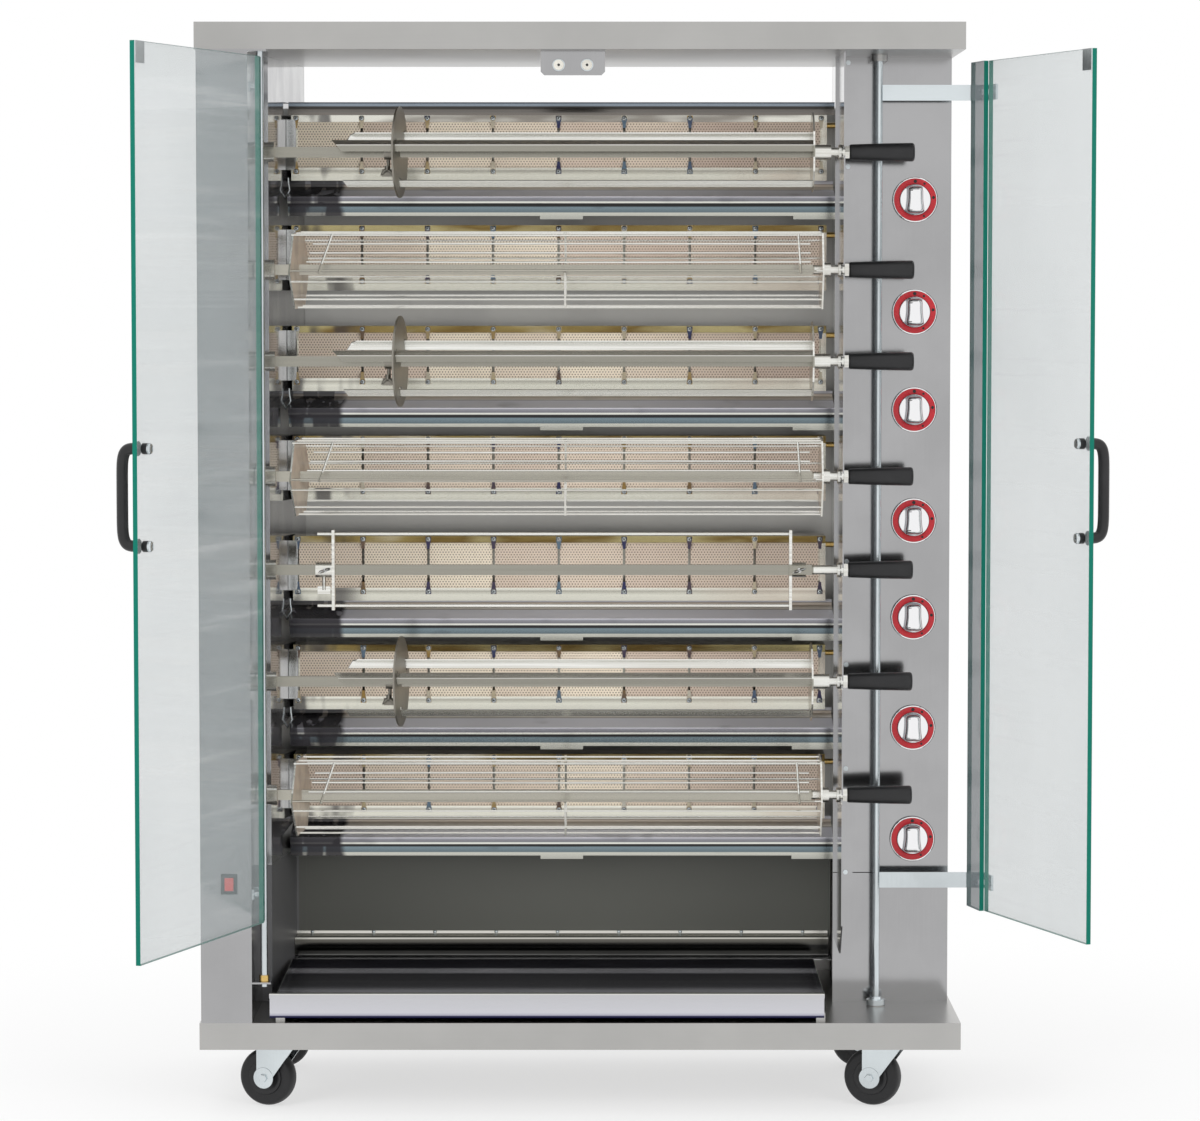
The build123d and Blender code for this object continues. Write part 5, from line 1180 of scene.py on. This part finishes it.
    def rod_rings(self) -> None:
        """Adds the brass bush below the left door's rod and the stepped collar below the right one's."""
        base = self.shop.datum.origin[2] + 161.0 * MM
        up = np.array([0.0, 0.0, 1.0])
        rings = {"left": ([(0.0697, 0.0066), (0.0697, 0.0083), (0.0703, 0.0087), (0.0800, 0.0087), (0.0812, 0.0080),
                           (0.0812, 0.0066)], Finish.BRASS, "brass"),
                 "right": ([(0.0002, 0.0066), (0.0002, 0.0150), (0.0022, 0.0164), (0.0110, 0.0164), (0.0120, 0.0156),
                            (0.0120, 0.0100), (0.0160, 0.0094), (0.0160, 0.0066)], Finish.ZINC, "zinc")}
        for side, (profile, finish, slot) in rings.items():
            joint = next(j for j in self.shop.frame["joints"] if j["name"] == f"door_{side}_hinge")
            foot = np.array([joint["pos_m"][0], joint["pos_m"][1], base])
            ring = Shape().turned(foot, up, profile, 48, closed=True)
            self.shop.place(ring.piece(f"{side}_rod_ring"), "cabinet", finish, slot)


def folded_strip(shape: Shape, left: float, right: float, profile: np.ndarray) -> Shape:
    """Adds a long strip: its outline runs out along one face and back along the other, then sweeps in X.

    Args:
        shape: The shape that takes the strip.
        left: The strip's left end.
        right: The strip's right end.
        profile: The outline's depths and heights, with point k opposite the k-th point from the end.

    Returns:
        The shape.
    """
    count = len(profile)
    points = np.empty((2, count, 3))
    points[..., 0] = np.array([left, right])[:, None]
    points[..., 1:] = profile
    ends = np.array([[k, k + 1, count - 2 - k, count - 1 - k] for k in range(count // 2 - 1)])
    return shape.add(*surface(points, False, True)).add(points.reshape(-1, 3), np.vstack([ends, ends + count]))


def domed_screw(shape: Shape, centre: np.ndarray, axis: np.ndarray, radius: float, height: float,
                sides: int = 12) -> Shape:
    """Adds a domed head: its radius falls with the sine of the angle as it rises with the cosine.

    Args:
        shape: The shape that takes the head.
        centre: The middle of the head's seat.
        axis: The direction out of the seat.
        radius: The head's radius.
        height: The head's height.
        sides: The number of steps round.

    Returns:
        The shape.
    """
    angle = np.linspace(0, np.pi / 2, 4)
    profile = [(-0.2 * height, 0.0), (-0.2 * height, radius), (0.25 * height, radius)]
    profile += [(height * (0.25 + 0.75 * np.sin(a)), radius * 0.96 * np.cos(a)) for a in angle[1:]]
    return shape.turned(centre, axis, profile, sides)


@dataclass
class Burners:
    """Seven infrared burners: trays, tiles, clips and their screws."""

    shop: Workshop
    tile_count: int = 8
    clip_width: float = 8.0 * MM
    clip_reach: float = 11.0 * MM
    clip_thickness: float = 1.2 * MM
    screw_radius: float = 4.6 * MM
    screw_height: float = 2.8 * MM
    top_rail: float = 12.0 * MM
    bottom_rail: float = 23.0 * MM

    def rows(self) -> list[tuple[float, float]]:
        """Returns each burner's lowest and highest tile edge, from the tiles' own vertices, top row first."""
        mesh = self.shop.frame["nodes"]["ceramic_tiles"].data
        points = np.empty(len(mesh.vertices) * 3)
        mesh.vertices.foreach_get("co", points)
        heights = np.unique(np.round(points.reshape(-1, 3)[:, 2], 4))
        return [(float(low), float(high)) for low, high in zip(heights[::2], heights[1::2])][::-1]

    def build(self) -> None:
        """Dresses the trays and tiles and replaces the plain clips."""
        self.shop.dress(Finish.TILE, "ceramic_tiles")
        self.shop.dress(Finish.TRAY, "burner_trays")
        low, high = self.shop.box("ceramic_tiles")
        face = self.shop.box("burner_trays")[0][1]
        gap = (high[0] - low[0]) / (self.tile_count + (self.tile_count - 1) * 0.042)
        pitch = gap * 1.042
        joints = low[0] - 0.021 * gap + pitch * np.arange(self.tile_count + 1)
        clips = Shape()
        screws = Shape()
        recess_shade_bars = Shape()
        for bottom, top in self.rows():
            for x in joints:
                for edge, out in ((top, 1.0), (bottom, -1.0)):
                    self.clip(clips, x, face, edge, out)
                    seat = np.array([x, face - self.clip_thickness, edge + out * self.top_rail * 0.55])
                    domed_screw(screws, seat, np.array([0.0, -1.0, 0.0]), self.screw_radius, self.screw_height)
                    # the black cross bars are painted shade for each screw's recess
                    self.cross(recess_shade_bars, seat)
        self.brackets(low[0], face)
        self.shop.place(clips.piece("tile_clips"), "cabinet", Finish.TINTED, "polished_steel", "burner_clips")
        self.shop.place(screws.piece("burner_screws"), "cabinet", Finish.ZINC, "zinc")
        self.shop.place(recess_shade_bars.piece("burner_screw_recesses", smooth=False), "cabinet", Finish.BLACK, "dark_plastic")

    def brackets(self, left: float, face: float) -> None:
        """Adds the folded strips beside each burner's left end, and the bent wire hooks below four of them.

        Args:
            left: The tiles' left edge.
            face: The trays' front plane.
        """
        strips, hooks = Shape(), Shape()
        profile = np.array([(-0.0225, 0.006), (-0.0215, 0.0005), (-0.0190, -0.0015), (-0.0045, -0.0015),
                            (-0.0025, 0.0), (-0.0025, 0.001), (-0.0050, -0.0003), (-0.0185, -0.0003),
                            (-0.0203, 0.0015), (-0.0213, 0.006)])
        for number, (bottom, top) in enumerate(self.rows(), start=1):
            points = np.empty((2, len(profile), 3))
            points[..., 0] = left + profile[:, 0]
            points[..., 1] = face + profile[:, 1]
            points[..., 2] = np.array([bottom - 0.004, top + 0.004])[:, None]
            strips.add(*surface(points, False, True))
            ends = np.array([[k, k + 1, 8 - k, 9 - k] for k in range(4)])
            strips.add(points.reshape(-1, 3), np.vstack([ends, ends + len(profile)]))
            if number in (1, 3, 5, 6):
                knots = np.array([(-0.0155, 0.0), (-0.0150, -0.010), (-0.0130, -0.022), (-0.0150, -0.026),
                                  (-0.0260, -0.044), (-0.0265, -0.046)])
                path = np.stack([left + knots[:, 0], np.full(len(knots), face - 0.012),
                                 bottom - 0.018 + knots[:, 1]], axis=-1)
                hooks.tube(path, 1.5 * MM, 8)
        self.shop.place(strips.piece("burner_end_strips", smooth=False), "cabinet", Finish.MIRROR, "polished_steel")
        self.shop.place(hooks.piece("burner_hooks"), "cabinet", Finish.ZINC, "zinc")

    def clip(self, shape: Shape, x: float, face: float, edge: float, out: float) -> None:
        """Adds a clip: a strip whose line steps from the rail down onto the tile's edge.

        Args:
            shape: The shape that takes the clip.
            x: The tile joint's place along the burner.
            face: The tray's front plane.
            edge: The tile edge's height.
            out: 1 above the tiles and -1 below.
        """
        half = self.clip_width / 2
        along = np.array([1.0, 0.35, 0.1, -0.35, -1.0]) * self.clip_reach
        depth = np.array([0.0, 0.0, 0.3, 0.8, 0.8]) * self.clip_thickness * 2
        width = half * np.array([1.25, 1.25, 1.0, 0.75, 0.6])
        grid = np.empty((4, 5, 3))
        for row, (side, lift) in enumerate(((-1, 0), (-1, 1), (1, 1), (1, 0))):
            grid[row, :, 0] = x + side * width
            grid[row, :, 1] = face - lift * self.clip_thickness + depth * 0.5 * (1 - lift) + depth * 0.5 * lift
            grid[row, :, 2] = edge + out * along
        shape.add(*surface(grid, True, False))
        ends = np.array([[0, 5, 10, 15], [19, 14, 9, 4]])
        shape.add(grid.reshape(-1, 3), ends)

    def cross(self, shape: Shape, seat: np.ndarray) -> None:
        """Adds the two crossed black bars that paint the shade of a screw's recess."""
        for turn in (0.4, 0.4 + np.pi / 2):
            run = np.array([np.cos(turn), 0.0, np.sin(turn)]) * self.screw_radius * 0.5
            side = np.array([-np.sin(turn), 0.0, np.cos(turn)]) * self.screw_radius * 0.13
            top = seat + np.array([0.0, -self.screw_height * 1.04, 0.0])
            low = seat + np.array([0.0, -self.screw_height * 0.55, 0.0])
            ring = [run + side, -run + side, -run - side, run - side]
            shape.add(np.array([top + v for v in ring] + [low + v for v in ring]),
                      np.array([[0, 1, 2, 3], [7, 6, 5, 4], [0, 4, 5, 1], [1, 5, 6, 2], [2, 6, 7, 3], [3, 7, 4, 0]]))


@dataclass
class Knobs:
    """Seven gas knobs: a bright rim, a red ring with its marks and a barrel grip on a bright disc."""

    shop: Workshop
    rim_width: float = 2.5 * MM
    ring_inner: float = 27.0 * MM
    grip_half_width: float = 16.0 * MM
    grip_half_length: float = 23.5 * MM
    grip_height: float = 18.5 * MM
    skirt_front: float = 19.0 * MM

    def build(self) -> None:
        """Makes the three pieces of each knob."""
        for number in range(1, ROW_COUNT + 1):
            node = f"knob_{number}"
            low, high = self.shop.box(node)
            centre = (low + high) / 2
            centre[1] = low[1] + self.skirt_front
            radius = (high[0] - low[0]) / 2
            axis = np.array([0.0, -1.0, 0.0])
            body = Shape()
            edge = radius - self.rim_width
            body.turned(centre, axis, [(-0.005, 0), (-0.005, radius - 0.001), (-0.004, radius), (0.0, radius),
                                       (0.0014, radius - 0.0006), (0.0018, radius - 0.0014), (0.0014, edge),
                                       (0.0002, edge - 0.0004), (0.0002, self.ring_inner + 0.0008),
                                       (0.0022, self.ring_inner), (0.0032, self.ring_inner - 0.0012),
                                       (0.0026, self.ring_inner - 0.004), (0.0024, 0)], 72)
            self.grip(body, centre)
            self.shop.place(body.piece(f"knob_{number}_body"), node, Finish.CHROME, "chrome", node)
            skirt = Shape().turned(centre, axis, [(low[1] + self.skirt_front - high[1], 0),
                                                  (low[1] + self.skirt_front - high[1], radius * 0.97),
                                                  (-0.006, radius * 0.985), (-0.004, radius * 0.97), (-0.004, 0)], 72)
            self.shop.place(skirt.piece(f"knob_{number}_skirt"), node, Finish.BLACK, "black_plastic")
            ring = Shape()
            ring.turned(centre, axis, [(0.0, 0), (0.0, edge), (0.0007, edge), (0.0010, edge - 0.0004),
                                       (0.0010, self.ring_inner + 0.001), (0.0004, self.ring_inner), (0.0004, 0)], 72)
            self.shop.place(ring.piece(f"knob_{number}_ring"), node, Finish.RED_RING, "red_plastic")
            marks = Shape()
            middle = (edge + self.ring_inner) / 2
            for turn, size in ((0.0, 0.0030), (0.52, 0.0021), (1.45, 0.0026), (2.65, 0.0019)):
                spot = centre + np.array([np.sin(turn) * middle, -0.0010, np.cos(turn) * middle])
                marks.turned(spot, axis, [(-0.0003, 0), (-0.0003, size), (0.0003, size), (0.0004, size * 0.8),
                                          (0.0004, 0)], 16)
            self.shop.place(marks.piece(f"knob_{number}_marks"), node, Finish.BLACK, "black_plastic")

    def grip(self, shape: Shape, centre: np.ndarray) -> None:
        """Adds the barrel grip: a half ring across, whose height falls off near both ends like a flat dome."""
        turn = np.linspace(0, 2 * np.pi, 40, endpoint=False)
        along = np.sin(np.linspace(-np.pi / 2, np.pi / 2, 25))
        envelope = (1 - np.abs(along) ** 7) ** 0.45
        across = np.sign(np.cos(turn)) * np.abs(np.cos(turn)) ** 0.45
        rise = np.where(np.sin(turn) > 0, np.abs(np.sin(turn)) ** 0.4, -0.08 * np.abs(np.sin(turn)))
        points = np.empty((len(along), len(turn), 3))
        waist = 0.84 + 0.16 * along ** 2 - 0.10 * along
        width = self.grip_half_width * waist[:, None] * np.maximum(envelope, 1e-5)[:, None]
        points[..., 0] = centre[0] + across * width
        points[..., 1] = centre[1] - 0.0015 - self.grip_height * rise * np.maximum(envelope, 1e-5)[:, None]
        points[..., 2] = centre[2] + self.grip_half_length * along[:, None]
        shape.add(*surface(points, False, True))


@dataclass
class SpitGrips:
    """Seven tapered black grips with rounded ends."""

    shop: Workshop

    def build(self) -> None:
        """Turns each grip about its spit: the radius grows evenly and rounds off at both ends."""
        for number in range(1, ROW_COUNT + 1):
            node = f"spit_grip_{number}"
            low, high = self.shop.box(node)
            length = high[0] - low[0]
            large = (high[2] - low[2]) / 2
            small = large * 0.84
            start = np.array([low[0], (low[1] + high[1]) / 2, (low[2] + high[2]) / 2])
            round_off = np.linspace(0, np.pi / 2, 6)
            head = [(0.004 * (1 - np.cos(a)), small - 0.003 * (1 - np.sin(a))) for a in round_off]
            tail = [(length - 0.005 * (1 - np.sin(a)), large - 0.005 * (1 - np.cos(a))) for a in round_off]
            profile = [(0.0, 0.0), *head, (length * 0.5, (small + large) / 2 + 0.0004), *tail, (length, 0.0)]
            grip = Shape().turned(start, np.array([1.0, 0.0, 0.0]), profile, 48)
            self.shop.place(grip.piece(f"spit_{number}_handle"), f"spit_{number}", Finish.BLACK, "black_plastic", node)


@dataclass
class Doors:
    """Two glass doors on rods, each with a bow handle."""

    shop: Workshop
    plane: float = 22.0
    back: float = 30.0
    edge: float = 22.0
    meeting: float = -12.0
    meeting_gap: float = 4.0
    height: float = 1082.0
    spacing: float = 155.0
    reach: float = 28.5
    radius: float = 9.3

    def build(self) -> None:
        """Dresses glass, rods and arms, and makes both handles."""
        self.shop.dress(Finish.GLASS_LEFT, "door_left_glass")
        self.shop.dress(Finish.GLASS_RIGHT, "door_right_glass")
        self.shop.dress(Finish.ZINC, "door_left_frame", "door_right_frame")
        for side, name in ((-1, "left"), (1, "right")):
            joint = next(j for j in self.shop.frame["joints"] if j["name"] == f"door_{name}_hinge")
            turn = side * max(np.radians(abs(angle)) for angle in joint["range_deg"])
            hinge = np.array(joint["pos_m"], float)
            x = self.meeting + side * (self.meeting_gap / 2 + self.edge)
            self.handle(f"door_{name}", x, hinge, turn)

    def swing(self, points: np.ndarray, hinge: np.ndarray, turn: float) -> np.ndarray:
        """Turns points about a door's rod from the shut place to the open place.

        Args:
            points: The points with the door shut, in the row's frame.
            hinge: A point on the rod.
            turn: The angle in radians, counter-clockwise from above.

        Returns:
            The points with the door open.
        """
        spin = np.array([[np.cos(turn), -np.sin(turn), 0], [np.sin(turn), np.cos(turn), 0], [0, 0, 1]])
        return (points - hinge) @ spin.T + hinge

    def handle(self, door: str, x: float, hinge: np.ndarray, turn: float) -> None:
        """Makes a bow handle: its line is a superellipse, so its corners are round and its grip straight.

        Args:
            door: The door's body.
            x: The handle's place along the shut door, from the datum.
            hinge: A point on the door's rod.
            turn: The open door's angle.
        """
        theta = np.linspace(0, np.pi, 49)
        rise = np.sign(np.cos(theta)) * np.abs(np.cos(theta)) ** 0.30
        out = np.abs(np.sin(theta)) ** 0.45
        path = np.stack([np.full_like(theta, x), self.plane - self.reach * out,
                         self.height + self.spacing / 2 * rise], axis=-1)
        path = self.shop.datum.origin + path * MM
        shape = Shape().tube(self.swing(path, hinge, turn), self.radius * MM, 20)
        axis = self.swing(hinge + np.array([[0.0, 1.0, 0.0]]), hinge, turn)[0] - hinge
        for side in (-1, 1):
            foot = self.shop.datum.point(x, self.plane, self.height + side * self.spacing / 2)
            foot = self.swing(foot[None], hinge, turn)[0]
            shape.turned(foot, -axis, [(0, 0), (0, 0.012), (0.002, 0.0118), (0.004, 0.0105), (0.005, 0.0)], 32)
        self.shop.place(shape.piece(f"{door}_pull"), door, Finish.BLACK, "black_plastic", f"{door}_handle")
        caps, spacers = Shape(), Shape()
        for side in (-1, 1):
            seat = self.shop.datum.point(x, self.back, self.height + side * self.spacing / 2)
            seat = self.swing(seat[None], hinge, turn)[0]
            spacers.turned(seat, axis, [(0, 0), (0, 0.0085), (0.0005, 0.009), (0.0095, 0.009), (0.010, 0.0085),
                                        (0.010, 0)], 28)
            caps.turned(seat, axis, [(0.0095, 0), (0.0095, 0.0088), (0.0125, 0.0088), (0.0145, 0.0075),
                                     (0.0150, 0.0060), (0.0142, 0.0040), (0.0142, 0)], 28)
        self.shop.place(spacers.piece(f"{door}_pull_spacers"), door, Finish.BLACK, "black_plastic")
        self.shop.place(caps.piece(f"{door}_pull_nuts"), door, Finish.ZINC, "zinc")


@dataclass
class Casters:
    """Wheels with a rounded tyre and a moulded hub."""

    shop: Workshop
    hub_share: float = 0.62
    fork_half: float = 22.0 * MM

    def build(self) -> None:
        """Makes the tyre and hub of each wheel about its own axle."""
        for joint in self.shop.frame["joints"]:
            if not joint["name"].startswith("caster_wheel_"):
                continue
            name = joint["child"]
            low, high = self.shop.box(name)
            centre = (low + high) / 2
            radius = (high[2] - low[2]) / 2
            axis = np.array(joint["axis"], float)
            half = 0.0155
            turn = np.linspace(-np.pi / 2, np.pi / 2, 15)
            crown = [(half * np.sin(a), radius - 0.009 * (1 - np.cos(a) ** 0.7)) for a in turn]
            rim = radius * self.hub_share
            tyre = [(-half, 0.006), (-half + 0.002, rim), *crown, (half - 0.002, rim), (half, 0.006)]
            shape = Shape().turned(centre, axis, [(-half, 0), *tyre, (half, 0)], 64)
            self.shop.place(shape.piece(f"{name}_tyre"), name, Finish.TYRE, "tyre", name)
            hub = Shape()
            for side in (-1, 1):
                hub.turned(centre + side * axis * (half - 0.001), side * axis,
                           [(0, 0), (0, rim * 0.97), (0.0012, rim * 0.95), (0.0012, rim * 0.8), (0.0002, rim * 0.74),
                            (0.0002, rim * 0.5), (0.0017, rim * 0.42), (0.0017, 0.0)], 48)
            self.shop.place(hub.piece(f"{name}_hub"), name, Finish.BLACK, "black_plastic")
            nuts = Shape()
            for side in (-1, 1):
                seat = centre + side * axis * self.fork_half
                nuts.turned(seat, side * axis, [(-0.0004, 0), (-0.0004, 0.0184), (0.0006, 0.0184), (0.0010, 0.0180),
                                                (0.0010, 0)], 48)
                nuts.turned(seat, side * axis, [(0.0008, 0), (0.0008, 0.0075), (0.0046, 0.0075), (0.0054, 0.0064),
                                                (0.0054, 0)], 6)
            self.shop.place(nuts.piece(f"{name}_axle_nuts"), joint["parent"], Finish.ZINC, "zinc")


def wing_screw(shape: Shape, root: np.ndarray, axis: np.ndarray, spread: np.ndarray) -> Shape:
    """Adds a wing screw: a stem, and two tapering wings that lean out along its axis.

    Args:
        shape: The shape that takes the screw.
        root: The point where the wings start.
        axis: The screw's axis, away from what it clamps.
        spread: The direction in which the wings spread, square to the axis.

    Returns:
        The shape.
    """
    shape.turned(root - axis * 0.004, axis, [(0, 0), (0, 0.0045), (0.008, 0.004), (0.009, 0)], 16)
    share = np.linspace(0, 1, 9)[:, None]
    radii = 0.0028 * np.sqrt(1 - (2 * np.clip(share[:, 0] - 0.45, 0, 0.5)) ** 2 * 0.95)
    for side in (-1, 1):
        shape.tube(root + side * share * 0.011 * spread + (0.002 + 0.011 * share ** 1.4) * axis, radii, 10)
    return shape


@dataclass
class Tools:
    """The spits, discs, forks and basket lids."""

    shop: Workshop
    wire: float = 1.75 * MM
    bar: float = 2.0 * MM
    lean: float = 20.0 * MM
    left_bar: float = 49.0 * MM
    right_bar: float = 37.0 * MM
    overhang: float = 17.0 * MM
    fork_screw: float = 377.0 * MM
    wire_count: int = 5

    def lid(self, number: int) -> None:
        """Rebuilds a lid in round wire: five long wires an even step apart, joined by two bars, one leaning.

        Args:
            number: The row's number.
        """
        node = f"basket_lid_{number}"
        low, high = self.shop.box(node)
        bottom = np.array([low[1] + self.wire, low[2] + self.wire])
        top = np.array([high[1] - self.wire, high[2] - self.wire])
        shape = Shape()
        for share in np.linspace(0, 1, self.wire_count):
            y, z = bottom + share * (top - bottom)
            whole = share in (0.0, 1.0)
            left = low[0] + (0.0 if whole else self.left_bar - self.overhang + self.lean * (share - 0.5))
            right = high[0] - (0.0 if whole else self.right_bar - self.overhang)
            x = np.linspace(left, right, 24)
            sag = 0.0008 * np.sin(np.pi * (x - left) / (right - left)) * np.sin(share * 9.0 + number)
            shape.tube(np.stack([x, np.full_like(x, y), z + sag], axis=-1), self.wire, 10)
        out = np.array([top[1] - bottom[1], bottom[0] - top[0]])
        out *= -1.6 * self.wire / np.linalg.norm(out)
        ends = [np.array([low[0] + self.left_bar, *(bottom + out * [1, -1])]),
                np.array([low[0] + self.left_bar + self.lean, *(top + out * [1, -1])]),
                np.array([high[0] - self.right_bar, *(bottom + out * [1, -1])]),
                np.array([high[0] - self.right_bar - 0.003, *(top + out * [1, -1])])]
        for start, end in ((ends[0], ends[1]), (ends[2], ends[3])):
            shape.tube(start + np.linspace(-0.04, 1.04, 6)[:, None] * (end - start), self.bar, 10)
        self.shop.place(shape.piece(f"{node}_wires"), node, Finish.ROD, "polished_steel", node)

    def wings(self, number: int) -> None:
        """Adds two round-tipped wings to a sliding disc's screw: each is a flattened, tapering tube.

        Args:
            number: The row's number.
        """
        body = f"disc_{number}"
        low, high = self.shop.box(f"sliding_{body}")
        axis = self.shop.box(f"spit_grip_{number}")
        height = (axis[0][2] + axis[1][2]) / 2
        depth = (axis[0][1] + axis[1][1]) / 2
        root = np.array([low[0] + 9.0 * MM, depth - 3.0 * MM, height - 27.0 * MM])
        shape = wing_screw(Shape(), root, np.array([0.0, 0.0, -1.0]), np.array([1.0, 0.0, 0.0]))
        self.shop.place(shape.piece(f"{body}_wing_screw"), body, Finish.DISC, "polished_steel")

    def fork_wings(self) -> None:
        """Adds the wing screws that hold the two forks of row 5, one to each fork."""
        low, high = self.shop.box("fork_clamp_5")
        middle = self.shop.datum.origin[0]
        height = (low[2] + high[2]) / 2
        spread = np.array([0.94, 0.0, 0.34])
        for body, x in (("fork_clamp_5", (low[0] + high[0]) / 2), ("spit_5", middle + self.fork_screw)):
            root = np.array([x, low[1] + 1.0 * MM, height])
            shape = wing_screw(Shape(), root, np.array([0.0, -1.0, 0.0]), spread)
            self.shop.place(shape.piece(f"{body}_wing_screw"), body, Finish.MIRROR, "polished_steel")

    def build(self) -> None:
        """Dresses the tools and rebuilds the lids in round wire."""
        for number in (1, 3, 6):
            self.wings(number)
        for number in (2, 4, 7):
            self.lid(number)
        self.fork_wings()
        self.shop.dress(Finish.ROD, "spit_2", "spit_4", "spit_7", "basket_lid_", "fork_clamp_")
        self.shop.dress(Finish.SHAFT, "spit_1", "spit_3", "spit_5", "spit_6")
        self.shop.dress(Finish.DISC, "sliding_disc_")


def main() -> None:
    """Builds the scene in order."""
    logging.basicConfig(level=logging.INFO, format="%(message)s")
    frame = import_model()
    datum = Datum()
    studio = Studio(datum)
    studio.build()
    finishes = Finishes(frame["nodes"])
    finishes.build()
    shop = Workshop(frame, datum, finishes)
    for part in (Cabinet(shop), Burners(shop), Tools(shop), SpitGrips(shop), Doors(shop), Knobs(shop), Casters(shop)):
        part.build()


if __name__ == "__main__":
    main()
